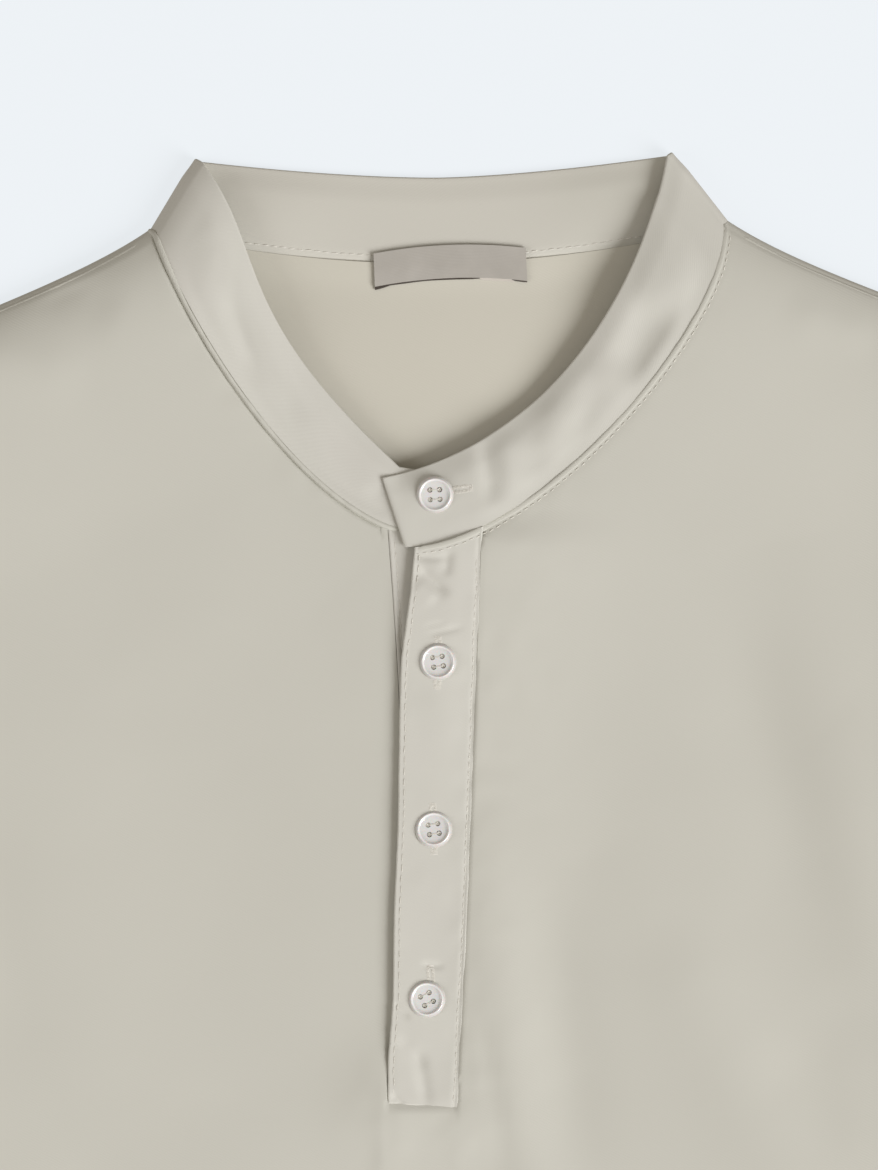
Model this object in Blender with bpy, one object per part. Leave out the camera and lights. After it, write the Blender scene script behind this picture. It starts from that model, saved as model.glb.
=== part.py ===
"""A short-sleeved t-shirt with a band collar and a buttoned half placket, lying flat on its back.

Metres, +Z up. +X is the wearer's left, +Y runs up the body to the collar, and the origin is the
middle of the footprint, on the surface that the shirt lies on. The sizes below are millimetres
in the pattern's frame: x from the centre line, y up from the level of the neck points, where the
shoulder seams meet the collar. One empty carries every piece from that frame to its place.
"""
import math
from collections import namedtuple

import bmesh
import bpy
import numpy as np
from mathutils import Vector

MM = 0.001

# Cloth: every panel is a wall of this thickness, and pieces keep the gap at seams and in layers,
# a little more at the neck points, where the shoulders' folds meet the collar's at an angle.
CLOTH = 1.0
SEAM_GAP = 0.3
NECK_ROLL_GAP = 0.6
LAYER = CLOTH + SEAM_GAP
BACK_LEVEL = CLOTH / 2

# Sides: the wearer's left is +X and carries the buttonholes, the wearer's right is -X.
LEFT = 1
RIGHT = -1

# Body, from the neck point down: half widths, levels and slopes of the flat panels.
BODY_LENGTH = 710.0
HEM_HALF = 262.0
HEM_RISE = 5.0
UNDERARM = Vector((265.0, -268.0))
NECK_POINT = Vector((89.0, 2.3))
SHOULDER_TIP_X = 228.0
SHOULDER_SLOPE = 0.385
SHOULDER_DIP = 5.0
SHOULDER_DIP_RUN = 17.0
BACK_NECK_DROP = 9.5
BACK_NECK_POWER = 1.9

# Armhole: how far the seam runs straight off the shoulder and out of the underarm, the way it
# leaves there, and the power that keeps its curve out of the middle of the back's rows.
ARMHOLE_LEAD_TOP = 50.0
ARMHOLE_LEAD_UNDER = 70.0
ARMHOLE_OUT_UNDER = Vector((0.59, -0.81)).normalized()
ARMHOLE_PULL = 4

# Sleeve: the two ends of its hem, and how far its folds and hem bow out.
SLEEVE_HEM_TOP = Vector((418.8, -178.2))
SLEEVE_HEM_UNDER = Vector((324.5, -329.2))
SLEEVE_TOP_BOW = 5.0
SLEEVE_UNDER_BOW = -3.0
SLEEVE_HEM_BOW = 3.0

# Collar band: the fold at each side runs from the neck point to the corner. The front seam and
# the front top edge are Bezier curves from there to the band's end: two handles and the end.
COLLAR_CORNER = {RIGHT: Vector((-75.2, 23.4)), LEFT: Vector((72.1, 23.4))}
COLLAR_BACK_TOP = 16.5
COLLAR_BACK_POWER = 1.6
COLLAR_CORNER_RADIUS = 2.0
COLLAR_LIFT = 1.6
COLLAR_CENTRE_LIFT = 1.2
COLLAR_SEAM = {
    RIGHT: (Vector((-72.2, -34.5)), Vector((-45.6, -81.0)), Vector((-14.6, -91.7))),
    LEFT: (Vector((87.0, -29.5)), Vector((24.3, -97.0)), Vector((-10.9, -96.9))),
}
COLLAR_TOP = {
    RIGHT: (Vector((-51.4, -3.4)), Vector((-67.0, -21.0)), Vector((-13.3, -71.5))),
    LEFT: (Vector((60.3, -8.7)), Vector((45.2, -58.8)), Vector((-18.3, -75.7))),
}
UNDER_END = (Vector((9.0, -91.4)), Vector((5.0, -73.0)))
OVER_RAMP = (30.0, 10.0)

# Front opening: the slit's two edges, then the over placket's two edges, all Bezier curves down.
SLIT = {
    RIGHT: (Vector((-16.8, -91.4)), Vector((-14.5, -125.0)), Vector((-10.5, -190.0)),
            Vector((-15.5, -261.0))),
    LEFT: (Vector((8.1, -92.3)), Vector((5.1, -150.4)), Vector((2.1, -212.4)),
           Vector((-1.1, -261.0))),
}
PLACKET_EDGE_RIGHT = (Vector((-9.5, -97.3)), Vector((-16.4, -172.3)), Vector((-13.5, -125.3)),
                      Vector((-19.6, -267.9)))
PLACKET_EDGE_LEFT = (Vector((12.1, -91.0)), Vector((9.1, -150.4)), Vector((6.1, -212.4)),
                     Vector((2.9, -269.8)))
PLACKET_TOP_EASE = 0.5
PLACKET_EASE = 0.25
PLACKET_LIFT = 0.3
PLACKET_LIFT_RUN = 40.0
PLACKET_LAP_SHARE = 0.7

# How high the front lies: at its folded edges, in the middle, and where the collar holds it up.
# Its soft folds fade out over FOLD_RUN before an edge.
EDGE_HEIGHT = 2.5
LOFT = 3.6
LOFT_RUN = 14.0
FOLD_RUN = 26.0
NECK_RISE = 2.0
NECK_REACH = 46.0
NECK_FOLD_SHARE = 0.5
LAP_REACH = 60.0
LAP_CENTRE = Vector((8.0, -92.0))

Fold = namedtuple("Fold", "x0 y0 x1 y1 half_width height")
SOFT_FOLDS = (
    Fold(x0=9.0, y0=-176.0, x1=33.0, y1=-350.0, half_width=11.0, height=1.7),
    Fold(x0=106.0, y0=-96.0, x1=150.0, y1=-290.0, half_width=15.0, height=1.5),
    Fold(x0=48.0, y0=-190.0, x1=124.0, y1=-330.0, half_width=15.0, height=1.5),
    Fold(x0=120.0, y0=-150.0, x1=236.0, y1=-262.0, half_width=16.0, height=1.6),
    Fold(x0=96.0, y0=-300.0, x1=188.0, y1=-520.0, half_width=24.0, height=1.9),
    Fold(x0=-60.0, y0=-270.0, x1=-110.0, y1=-470.0, half_width=26.0, height=1.4),
    Fold(x0=-150.0, y0=-190.0, x1=-240.0, y1=-275.0, half_width=18.0, height=1.5),
    Fold(x0=-20.0, y0=-420.0, x1=36.0, y1=-660.0, half_width=28.0, height=1.6),
    Fold(x0=-170.0, y0=-500.0, x1=-214.0, y1=-680.0, half_width=20.0, height=1.5),
    Fold(x0=150.0, y0=-560.0, x1=222.0, y1=-690.0, half_width=22.0, height=1.3),
    Fold(x0=252.0, y0=-225.0, x1=370.0, y1=-250.0, half_width=17.0, height=2.0),
    Fold(x0=262.0, y0=-120.0, x1=352.0, y1=-190.0, half_width=19.0, height=1.5),
    Fold(x0=-250.0, y0=-232.0, x1=-352.0, y1=-268.0, half_width=18.0, height=1.9),
    Fold(x0=-268.0, y0=-130.0, x1=-378.0, y1=-205.0, half_width=17.0, height=1.6),
)

# Buttons: turned four-hole buttons, with their places on the collar and down the placket.
Button = namedtuple("Button", "name x y turn")
BUTTONS = (
    Button(name="button_band", x=-2.5, y=-81.1, turn=1.0),
    Button(name="button_top", x=-2.3, y=-132.3, turn=7.0),
    Button(name="button_middle", x=-4.2, y=-184.1, turn=8.0),
    Button(name="button_bottom", x=-7.1, y=-235.9, turn=26.0),
)
BUTTON_RADIUS = 5.7
BUTTON_SIDES = 20
BUTTON_HOLE_RADIUS = 0.75
BUTTON_HOLE_OFFSET = 2.1
BUTTON_HOLE_SIDES = 8
BUTTON_PROFILE = (
    # distance from the axis as a share of the radius, height above the button's foot
    (0.60, 0.0),
    (0.94, 0.55),
    (1.00, 1.25),
    (0.92, 2.10),
    (0.76, 2.05),
    (0.62, 1.30),
)

# Neck label: a folded strip of satin, sewn to the inner collar by its upper edge. It arches with
# the back neck seam, and the centre is the middle of the line between its ends.
LABEL_SIZE = Vector((47.0, 10.8))
LABEL_CENTRE = Vector((3.2, -11.2))
LABEL_BOW = 1.8
LABEL_TURN = math.radians(1.4)
LABEL_WALL = 1.1
LABEL_BELLY = 0.5

# Mesh steps. Pieces that meet at a seam are divided at the same places along it.
SIDE_LEVELS = (-710.0, -695.0, -620.0, -530.0, -440.0, -360.0, -305.0)
SLIT_ROWS = 8
NECK_ROWS = 12
SHOULDER_COLUMNS = (0.0, 0.05, 0.13, 0.25, 0.42, 0.62, 0.82, 1.0)
ARMHOLE_STEPS = 10
BACK_NECK_STEPS = 5
ROLL_STEPS = 3
COLLAR_ROWS = 2
COLLAR_FOLD_STEPS = 4
SLEEVE_STATIONS = 7
PLACKET_ROWS = 18
PLACKET_COLUMNS = 5
PLACKET_UNDER_COLUMNS = 3
LABEL_ROWS = 3
LABEL_COLUMNS = 8
CHAIN_STEPS = 24
HALVINGS = 24

ORIGIN_Y = (BODY_LENGTH - COLLAR_CORNER[LEFT].y) / 2

SurfacePoint = namedtuple("SurfacePoint", "place normal")
Roll = namedtuple("Roll", "axis out radius")


# ---------------------------------------------------------------- plan curves

def lerp(a, b, share):
    return a + (b - a) * share


def smooth(share):
    share = min(max(share, 0.0), 1.0)
    return share * share * (3 - 2 * share)


def bezier(points, t):
    p0, p1, p2, p3 = points
    s = 1 - t
    return p0 * s ** 3 + p1 * (3 * s * s * t) + p2 * (3 * s * t * t) + p3 * t ** 3


def share_where(falling, target):
    """The share, from 0 to 1, at which a falling function reaches a value, found by halving."""
    low, high = 0.0, 1.0
    for _ in range(HALVINGS):
        middle = (low + high) / 2
        if falling(middle) > target:
            low = middle
        else:
            high = middle
    return low


def across(vector):
    """The direction a quarter turn anticlockwise from a plan vector, one unit long."""
    return Vector((-vector.y, vector.x)).normalized()


def mirrored(point, side):
    return Vector((side * point.x, point.y))


def bowed(start, end, share, bow):
    """A point on a shallow arch between two points, bowed to the left of the way from one."""
    return lerp(start, end, share) + across(end - start) * (bow * 4 * share * (1 - share))


def shoulder_edge(share):
    run = share * (SHOULDER_TIP_X - NECK_POINT.x)
    dip = SHOULDER_DIP * (1 - math.exp(-run / SHOULDER_DIP_RUN))
    return Vector((NECK_POINT.x + run, NECK_POINT.y - SHOULDER_SLOPE * run - dip))


def sleeve_top_edge(share):
    return bowed(shoulder_edge(1.0), SLEEVE_HEM_TOP, share, SLEEVE_TOP_BOW)


def sleeve_under_edge(share):
    return bowed(UNDERARM, SLEEVE_HEM_UNDER, share, SLEEVE_UNDER_BOW)


def edge_direction(edge, share):
    """The unit vector along an edge curve at a share of its way."""
    step = 0.01
    low = min(max(share - step, 0.0), 1.0 - 2 * step)
    return (edge(low + 2 * step) - edge(low)).normalized()


def side_edge(level):
    """The side seam's half width at a level between the hem and the underarm."""
    share = (level + BODY_LENGTH) / (UNDERARM.y + BODY_LENGTH)
    return Vector((lerp(HEM_HALF, UNDERARM.x, share), level))


TIP_OUT = (across(edge_direction(shoulder_edge, 1.0))
           + across(edge_direction(sleeve_top_edge, 0.0))).normalized()
ARMHOLE = (shoulder_edge(1.0),
           shoulder_edge(1.0) - TIP_OUT * ARMHOLE_LEAD_TOP,
           UNDERARM - ARMHOLE_OUT_UNDER * ARMHOLE_LEAD_UNDER,
           UNDERARM)


def armhole_edge(share):
    """The armhole seam, from the shoulder tip down to the underarm."""
    return bezier(ARMHOLE, share)


def sleeveward(share):
    """The direction in plan from the body to the sleeve, square to the armhole seam."""
    return across(edge_direction(armhole_edge, share))


# ---------------------------------------------------------------- heights

def polyline_distance(corners, x, y):
    """The distance in plan from a point to a chain of straight runs."""
    starts = corners[:-1]
    runs = corners[1:] - starts
    offset = np.array((x, y)) - starts
    share = np.clip(np.sum(offset * runs, axis=1) / np.sum(runs * runs, axis=1), 0.0, 1.0)
    nearest = starts + runs * share[:, None]
    return float(np.min(np.hypot(nearest[:, 0] - x, nearest[:, 1] - y)))


def folded_edges():
    """The outline of one side where the front turns over to the back, as two chains."""
    shares = [k / CHAIN_STEPS for k in range(CHAIN_STEPS + 1)]
    upper = [shoulder_edge(f) for f in shares] + [sleeve_top_edge(f) for f in shares[1:]]
    lower = [side_edge(-BODY_LENGTH), UNDERARM] + [sleeve_under_edge(f) for f in shares[1:]]
    return np.array([tuple(p) for p in upper]), np.array([tuple(p) for p in lower])


def seam_start(side):
    """Where the collar's front seam leaves the fold at the neck point."""
    return collar_roll(side, 0.0, NECK_RADIUS).axis


def seam_chain():
    """The whole front neck seam as one chain, from the wearer's right to the left."""
    shares = [k / CHAIN_STEPS for k in range(CHAIN_STEPS + 1)]
    right = [bezier((mirrored(NECK_POINT, RIGHT),) + COLLAR_SEAM[RIGHT], f) for f in shares]
    left = [bezier((NECK_POINT,) + COLLAR_SEAM[LEFT], f) for f in reversed(shares)]
    return np.array([tuple(p) for p in right + left])


UPPER_EDGE, LOWER_EDGE = folded_edges()
NECK_CHAIN = seam_chain()


def fold_height(fold, x, y):
    """How much one soft fold adds: round across, and fading out to both its ends."""
    start = Vector((fold.x0, fold.y0))
    run = Vector((fold.x1, fold.y1)) - start
    offset = Vector((x, y)) - start
    share = offset.dot(run) / run.length_squared
    if not 0 < share < 1:
        return 0.0
    sideways = offset.dot(across(run)) / fold.half_width
    return fold.height * math.exp(-sideways * sideways) * 4 * share * (1 - share)


def front_height(x, y):
    """The height of the middle of the front's cloth, on the body and on the sleeves."""
    edge = min(polyline_distance(UPPER_EDGE, abs(x), y), polyline_distance(LOWER_EDGE, abs(x), y))
    neck = polyline_distance(NECK_CHAIN, x, y)
    loft = LOFT * (1 - math.exp(-edge / LOFT_RUN))
    neck_rise = NECK_RISE * math.exp(-(neck / NECK_REACH) ** 2)
    folds = sum(fold_height(fold, x, y) for fold in SOFT_FOLDS)
    fade = smooth(edge / FOLD_RUN) * lerp(1.0, NECK_FOLD_SHARE, neck_rise / NECK_RISE)
    return EDGE_HEIGHT + loft + neck_rise + folds * fade


def lap_height(x, y):
    """How much the wearer's left side lies higher, where it laps over the right at the neck."""
    run = max(x - LAP_CENTRE.x, 0.0)
    rise = y - LAP_CENTRE.y
    return LAYER * math.exp(-(run * run + rise * rise) / LAP_REACH ** 2)


def left_height(x, y):
    return front_height(x, y) + lap_height(x, y)


def placket_edges(y):
    """The over placket's two edges at a level, the free one and the sewn one."""
    return x_at_level(PLACKET_EDGE_RIGHT, y), x_at_level(PLACKET_EDGE_LEFT, y)


def x_at_level(curve, y):
    """The x of a curve that runs down the shirt, at one level."""
    return bezier(curve, share_where(lambda share: bezier(curve, share).y, y)).x


def placket_height(x, y):
    """The over placket lies a layer up, a little lifted at its free edge, flat where its foot is sewn."""
    free, sewn = placket_edges(y)
    share = (x - free) / (sewn - free)
    lift = PLACKET_LIFT * smooth((y - PLACKET_EDGE_RIGHT[3].y) / PLACKET_LIFT_RUN) * (1 - smooth(share))
    lap = lap_height(sewn, y) * smooth(share / PLACKET_LAP_SHARE)
    return front_height(x, y) + LAYER + PLACKET_EASE + lift + lap


def surface_point(height, x, y):
    """A point on a height function, with the normal of its slope."""
    step = 1.0
    slope_x = (height(x + step, y) - height(x - step, y)) / (2 * step)
    slope_y = (height(x, y + step) - height(x, y - step)) / (2 * step)
    normal = Vector((-slope_x, -slope_y, 1.0)).normalized()
    return SurfacePoint(Vector((x, y, height(x, y))), normal)


# ---------------------------------------------------------------- folded edges

def roll_at(edge, out, shift=Vector((0.0, 0.0))):
    """The roll where the front turns over to the back, its outside on the outline."""
    radius = (front_height(edge.x, edge.y) - BACK_LEVEL) / 2
    return Roll(edge - out * (radius + CLOTH / 2) + shift, out, radius)


def roll_point(roll, angle):
    """A point round a roll: 0 is its top, on the front, and a half turn is its foot."""
    out = roll.out * math.sin(angle)
    place = roll.axis + out * roll.radius
    height = BACK_LEVEL + roll.radius * (1 + math.cos(angle))
    return SurfacePoint(Vector((place.x, place.y, height)),
                        Vector((out.x, out.y, math.cos(angle))))


def rolled_edge(roll, facing):
    """A panel's edge, turned a quarter round a roll to half a seam gap from the roll's middle.

    facing is 1 for the front, which comes down from the roll's top, and -1 for the back.
    """
    turn = math.acos(SEAM_GAP / 2 / roll.radius)
    points = []
    for step in range(ROLL_STEPS + 1):
        point = roll_point(roll, turn * step / ROLL_STEPS)
        if facing < 0:
            point.place.z = 2 * (BACK_LEVEL + roll.radius) - point.place.z
            point.normal.z = -point.normal.z
        points.append(point)
    points[-1] = SurfacePoint(points[-1].place, Vector((roll.out.x, roll.out.y, 0.0)))
    return points


def collar_roll(side, share, radius):
    """The collar's fold at one side, from the seam up to the corner."""
    start = mirrored(NECK_POINT, side)
    along = COLLAR_CORNER[side] - start
    out = across(along) * (1 if side == RIGHT else -1)
    return Roll(start + along * share - out * (radius + CLOTH / 2), out, radius)


NECK_RADIUS = (front_height(NECK_POINT.x, NECK_POINT.y) - BACK_LEVEL) / 2


def neck_roll(side):
    """The body's fold just below the collar, a seam gap away from it."""
    roll = collar_roll(side, 0.0, NECK_RADIUS)
    down = (mirrored(NECK_POINT, side) - COLLAR_CORNER[side]).normalized()
    return Roll(roll.axis + down * NECK_ROLL_GAP, roll.out, roll.radius)


def tip_roll(side, shift):
    move = mirrored(sleeveward(0.0), side) * shift
    return roll_at(mirrored(shoulder_edge(1.0), side), mirrored(TIP_OUT, side), move)


def underarm_roll(side, shift):
    move = mirrored(sleeveward(1.0), side) * shift
    return roll_at(mirrored(UNDERARM, side), mirrored(ARMHOLE_OUT_UNDER, side), move)


def armhole_chain(side, shift):
    """The armhole seam as a chain of points, from the tip's roll down to the underarm's."""
    chain = [tip_roll(side, shift).axis]
    for k in range(1, ARMHOLE_STEPS):
        share = k / ARMHOLE_STEPS
        chain.append(mirrored(armhole_edge(share) + sleeveward(share) * shift, side))
    chain.append(underarm_roll(side, shift).axis)
    return chain


def chain_point(chain, share):
    place = min(share * (len(chain) - 1), len(chain) - 1.001)
    return lerp(chain[int(place)], chain[int(place) + 1], place - int(place))


def shoulder_roll(side, share):
    out = across(edge_direction(shoulder_edge, share))
    return roll_at(mirrored(shoulder_edge(share), side), mirrored(out, side))


def side_roll(side, level):
    return roll_at(mirrored(side_edge(level), side), Vector((side, 0.0)))


# ---------------------------------------------------------------- pieces

def cloth_piece(name, grid, material, wall=CLOTH, ring=0, skip=()):
    """Builds a wall of cloth on a grid of surface points.

    grid maps (row, column) to a point. A cell is filled where its four corners exist, unless its
    lower left corner is in skip. ring is the number of columns of a tube, which closes on itself.
    Every cell is split along the same diagonal, so that layers on one grid stay parallel.
    """
    mesh = bmesh.new()
    outer = {}
    inner = {}
    for key, point in grid.items():
        outer[key] = mesh.verts.new((point.place + point.normal * wall / 2) * MM)
        inner[key] = mesh.verts.new((point.place - point.normal * wall / 2) * MM)
    edges = {}
    for row, column in grid:
        following = (column + 1) % ring if ring else column + 1
        corners = [(row, column), (row, following), (row + 1, following), (row + 1, column)]
        if (row, column) in skip or any(corner not in grid for corner in corners):
            continue
        for half in (corners[:3], corners[2:] + corners[:1]):
            mesh.faces.new([outer[corner] for corner in half])
            mesh.faces.new([inner[corner] for corner in reversed(half)])
        for start, end in zip(corners, corners[1:] + corners[:1]):
            if (end, start) in edges:
                del edges[(end, start)]
            else:
                edges[(start, end)] = True
    for start, end in edges:
        mesh.faces.new([outer[end], outer[start], inner[start], inner[end]])
    bmesh.ops.recalc_face_normals(mesh, faces=mesh.faces)
    return finish_object(name, mesh, material)


def finish_object(name, mesh, material):
    data = bpy.data.meshes.new(name)
    mesh.to_mesh(data)
    mesh.free()
    data.shade_smooth()
    data.set_sharp_from_angle(angle=math.radians(50))
    data.materials.append(material)
    piece = bpy.data.objects.new(name, data)
    bpy.context.collection.objects.link(piece)
    piece.parent = GARMENT
    return piece


def make_material(name, colour, roughness):
    material = bpy.data.materials.new(name)
    material.use_nodes = True
    shader = material.node_tree.nodes["Principled BSDF"]
    shader.inputs["Base Color"].default_value = (*colour, 1.0)
    shader.inputs["Roughness"].default_value = roughness
    shader.inputs["Metallic"].default_value = 0.0
    return material


def outer_rolls(side, rows):
    """The body's outer edge, up from the hem: rolls at the side seam, then the armhole seam.

    The hem rises towards its corners, and the side levels follow it.
    """
    rolls = []
    for k, level in enumerate(SIDE_LEVELS):
        rolls.append(side_roll(side, level + HEM_RISE * (1 - k / len(SIDE_LEVELS))))
    rolls.append(underarm_roll(side, -SEAM_GAP / 2))
    chain = armhole_chain(side, -SEAM_GAP / 2)
    for k in range(1, rows):
        rolls.append(Roll(chain_point(chain, 1 - k / rows), None, None))
    rolls.append(tip_roll(side, -SEAM_GAP / 2))
    return rolls


def shoulder_rolls(side):
    """The body's top edge, out from the collar to the shoulder tip."""
    rolls = [neck_roll(side)]
    rolls += [shoulder_roll(side, share) for share in SHOULDER_COLUMNS[1:-1]]
    rolls.append(tip_roll(side, -SEAM_GAP / 2))
    return rolls


def hem_bend(share, row):
    """How much a lower row curves up between the centre, at 0, and the side seam, at 1."""
    return HEM_RISE * (share * share - share) * (1 - row / len(SIDE_LEVELS))


def body_front():
    """The front panel: two halves that join below the slit, each from the centre outwards.

    Columns count outwards from the centre: 0, 1 ... on the left, and -1, -2 ... on the right.
    """
    lower = len(SIDE_LEVELS)
    rows = SLIT_ROWS + NECK_ROWS
    last = lower + rows
    grid = {}
    for side in (RIGHT, LEFT):
        height = left_height if side == LEFT else front_height
        first = 0 if side == LEFT else -1
        columns = [first + side * k for k in range(len(SHOULDER_COLUMNS))]
        inner = front_inner_edge(side)
        outer = outer_rolls(side, rows)
        top = shoulder_rolls(side)
        for row in range(last):
            rise = (max(row - lower, 0) / rows) ** 2
            for column, share, roll in zip(columns, SHOULDER_COLUMNS, top):
                place = lerp(inner[row], outer[row].axis, share)
                place += (roll.axis - lerp(inner[last], outer[last].axis, share)) * rise
                if row < lower:
                    place.y += hem_bend(share, row)
                grid[(row, column)] = surface_point(height, place.x, place.y)
        for column, roll in zip(columns, top):
            for step, point in enumerate(rolled_edge(roll, 1)):
                grid[(last + step, column)] = point
        for row, roll in enumerate(outer[:lower + 1]):
            for step, point in enumerate(rolled_edge(roll, 1)):
                grid[(row, columns[-1] + side * step)] = point
    slit = {(row, -1) for row in range(lower, last + ROLL_STEPS)}
    return cloth_piece("front", grid, CLOTH_MATERIAL, skip=slit)


def front_inner_edge(side):
    """The front's edge at the centre, up from the hem, and then its edge along the collar."""
    slit = SLIT[side]
    points = [Vector((slit[3].x, level)) for level in SIDE_LEVELS]
    points += [bezier(slit, 1 - k / SLIT_ROWS) for k in range(SLIT_ROWS)]
    for share in reversed(seam_shares(side)):
        outward = across(edge_direction(lambda f: collar_seam(side, f), share)) * -side
        points.append(collar_seam(side, share) - outward * SEAM_GAP)
    return points + [neck_roll(side).axis]


def collar_seam(side, share):
    """The collar's seam at the front, from its fold to its end."""
    return bezier((seam_start(side),) + COLLAR_SEAM[side], share)


def seam_shares(side):
    """Where the front's corners fall along the collar's seam, from its fold to the slit."""
    end = share_at_x(side, SLIT[side][0].x)
    return [end * k / NECK_ROWS for k in range(1, NECK_ROWS + 1)]


def share_at_x(side, x):
    """The share of the way along the collar's front seam at which it reaches a given x."""
    return share_where(lambda share: side * collar_seam(side, share).x, side * x)


def body_back():
    """The back panel, flat on the surface, with its side and shoulder edges rolled up."""
    lower = len(SIDE_LEVELS)
    last = lower + ARMHOLE_STEPS
    down = Vector((0.0, 0.0, -1.0))
    grid = {}
    for side in (RIGHT, LEFT):
        outer = outer_rolls(side, ARMHOLE_STEPS)
        rolls = shoulder_rolls(side)
        neck = [back_neck(side, k / BACK_NECK_STEPS) for k in range(BACK_NECK_STEPS)]
        top = [place - Vector((0.0, SEAM_GAP)) for place in neck] + [roll.axis for roll in rolls]
        for row in range(last + 1):
            rise = max(row - lower, 0) / ARMHOLE_STEPS
            foot = outer[min(row, lower)].axis
            level = SIDE_LEVELS[row] if row < lower else foot.y
            for k, end in enumerate(top):
                share = end.x / top[-1].x
                base = lerp(Vector((0.0, level)), foot, share)
                place = lerp(base, end, rise)
                place += (outer[row].axis - lerp(foot, top[-1], rise)) * share ** ARMHOLE_PULL
                if row < lower:
                    place.y += hem_bend(share, row)
                grid[(row, side * k)] = SurfacePoint(Vector((place.x, place.y, BACK_LEVEL)), down)
        for k, roll in enumerate(rolls):
            for step, point in enumerate(rolled_edge(roll, -1)):
                grid[(last + step, side * (BACK_NECK_STEPS + k))] = point
        for row, roll in enumerate(outer[:lower + 1]):
            for step, point in enumerate(rolled_edge(roll, -1)):
                grid[(row, side * (len(top) - 1 + step))] = point
    return cloth_piece("back", grid, CLOTH_MATERIAL)


def back_neck(side, share):
    """The back neck seam, from the centre to the fold."""
    end = seam_start(side)
    return Vector((end.x * share, lerp(-BACK_NECK_DROP, end.y, share ** BACK_NECK_POWER)))


def back_collar_top(side, share):
    """The collar's top edge behind the neck, from the centre to the corner."""
    end = collar_roll(side, 1.0, COLLAR_CORNER_RADIUS).axis
    return Vector((end.x * share, lerp(COLLAR_BACK_TOP, end.y, share ** COLLAR_BACK_POWER)))


def sleeve(name, side):
    """A sleeve pressed flat: a tube from the armhole to its hem, folded above and below."""
    grid = {}
    turn = [math.pi * k / 4 for k in (1, 2, 3)]
    for row in range(SLEEVE_STATIONS + 1):
        share = row / SLEEVE_STATIONS
        if row == 0:
            upper = tip_roll(side, SEAM_GAP / 2)
            under = underarm_roll(side, SEAM_GAP / 2)
        else:
            upper_out = across(edge_direction(sleeve_top_edge, share))
            under_out = -across(edge_direction(sleeve_under_edge, share))
            upper = roll_at(mirrored(sleeve_top_edge(share), side), mirrored(upper_out, side))
            under = roll_at(mirrored(sleeve_under_edge(share), side), mirrored(under_out, side))
        plan = [sleeve_plan(side, share, k, upper.axis, under.axis) for k in range(1, ARMHOLE_STEPS)]
        ring = [roll_point(upper, 0.0)]
        ring += [surface_point(front_height, place.x, place.y) for place in plan]
        ring += [roll_point(under, angle) for angle in [0.0] + turn + [math.pi]]
        ring += [SurfacePoint(Vector((place.x, place.y, BACK_LEVEL)), Vector((0.0, 0.0, -1.0)))
                 for place in reversed(plan)]
        ring += [roll_point(upper, angle) for angle in [math.pi] + turn[::-1]]
        for column, point in enumerate(ring):
            grid[(row, column)] = point
    return cloth_piece(name, grid, CLOTH_MATERIAL, ring=len(ring))


def sleeve_plan(side, share, column, upper, under):
    """A point of the flat sleeve, between its two folds, a share of the way to its hem."""
    chain = armhole_chain(side, SEAM_GAP / 2)
    around = column / ARMHOLE_STEPS
    armhole_bend = chain[column] - lerp(chain[0], chain[-1], around)
    hem_out = mirrored(across(SLEEVE_HEM_UNDER - SLEEVE_HEM_TOP), side)
    hem_bow = hem_out * (SLEEVE_HEM_BOW * 4 * around * (1 - around))
    return lerp(upper, under, around) + armhole_bend * (1 - share) ** 1.5 + hem_bow * share


def collar_stations():
    """The collar's outer layer as pairs of points, on its seam and on its top edge.

    They start at the end that lies under, go up the wearer's right side, round the fold, behind
    the neck, round the other fold, and down the left side to the end that lies over.
    """
    stations = []
    for share in (1.0, 0.5):
        seam = lerp(COLLAR_SEAM[RIGHT][2], UNDER_END[0], share)
        top = lerp(COLLAR_TOP[RIGHT][2], UNDER_END[1], share)
        stations.append(collar_station(seam, top, front_height(seam.x, seam.y), COLLAR_CENTRE_LIFT))
    stations += reversed(collar_front(RIGHT))
    stations += collar_fold(RIGHT)
    for k in range(BACK_NECK_STEPS - 1, -BACK_NECK_STEPS, -1):
        side = RIGHT if k > 0 else LEFT
        share = abs(k) / BACK_NECK_STEPS
        seam = back_neck(side, share)
        stations.append(collar_station(seam, back_collar_top(side, share), BACK_LEVEL, 0.0))
    stations += reversed(collar_fold(LEFT))
    stations += collar_front(LEFT)
    return stations


def collar_station(seam, top, height, lift):
    return Vector((seam.x, seam.y, height)), Vector((top.x, top.y, height + lift))


def collar_front(side):
    """The stations of one front half of the collar, from just after its fold to its end."""
    top_curve = (collar_roll(side, 1.0, COLLAR_CORNER_RADIUS).axis,) + COLLAR_TOP[side]
    corner_lift = 2 * (COLLAR_CORNER_RADIUS - NECK_RADIUS)
    shares = seam_shares(side)
    shares += [lerp(shares[-1], 1.0, 0.5), 1.0] if side == LEFT else [1.0]
    stations = []
    for share in shares:
        seam = collar_seam(side, share)
        height = front_height(seam.x, seam.y)
        if side == LEFT:
            ramp = smooth((OVER_RAMP[0] - seam.x) / (OVER_RAMP[0] - OVER_RAMP[1]))
            height += lap_height(seam.x, seam.y) + LAYER * ramp
        lift = lerp(corner_lift, COLLAR_CENTRE_LIFT, share) + COLLAR_LIFT * math.sin(math.pi * share)
        stations.append(collar_station(seam, bezier(top_curve, share), height, lift))
    return stations


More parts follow.
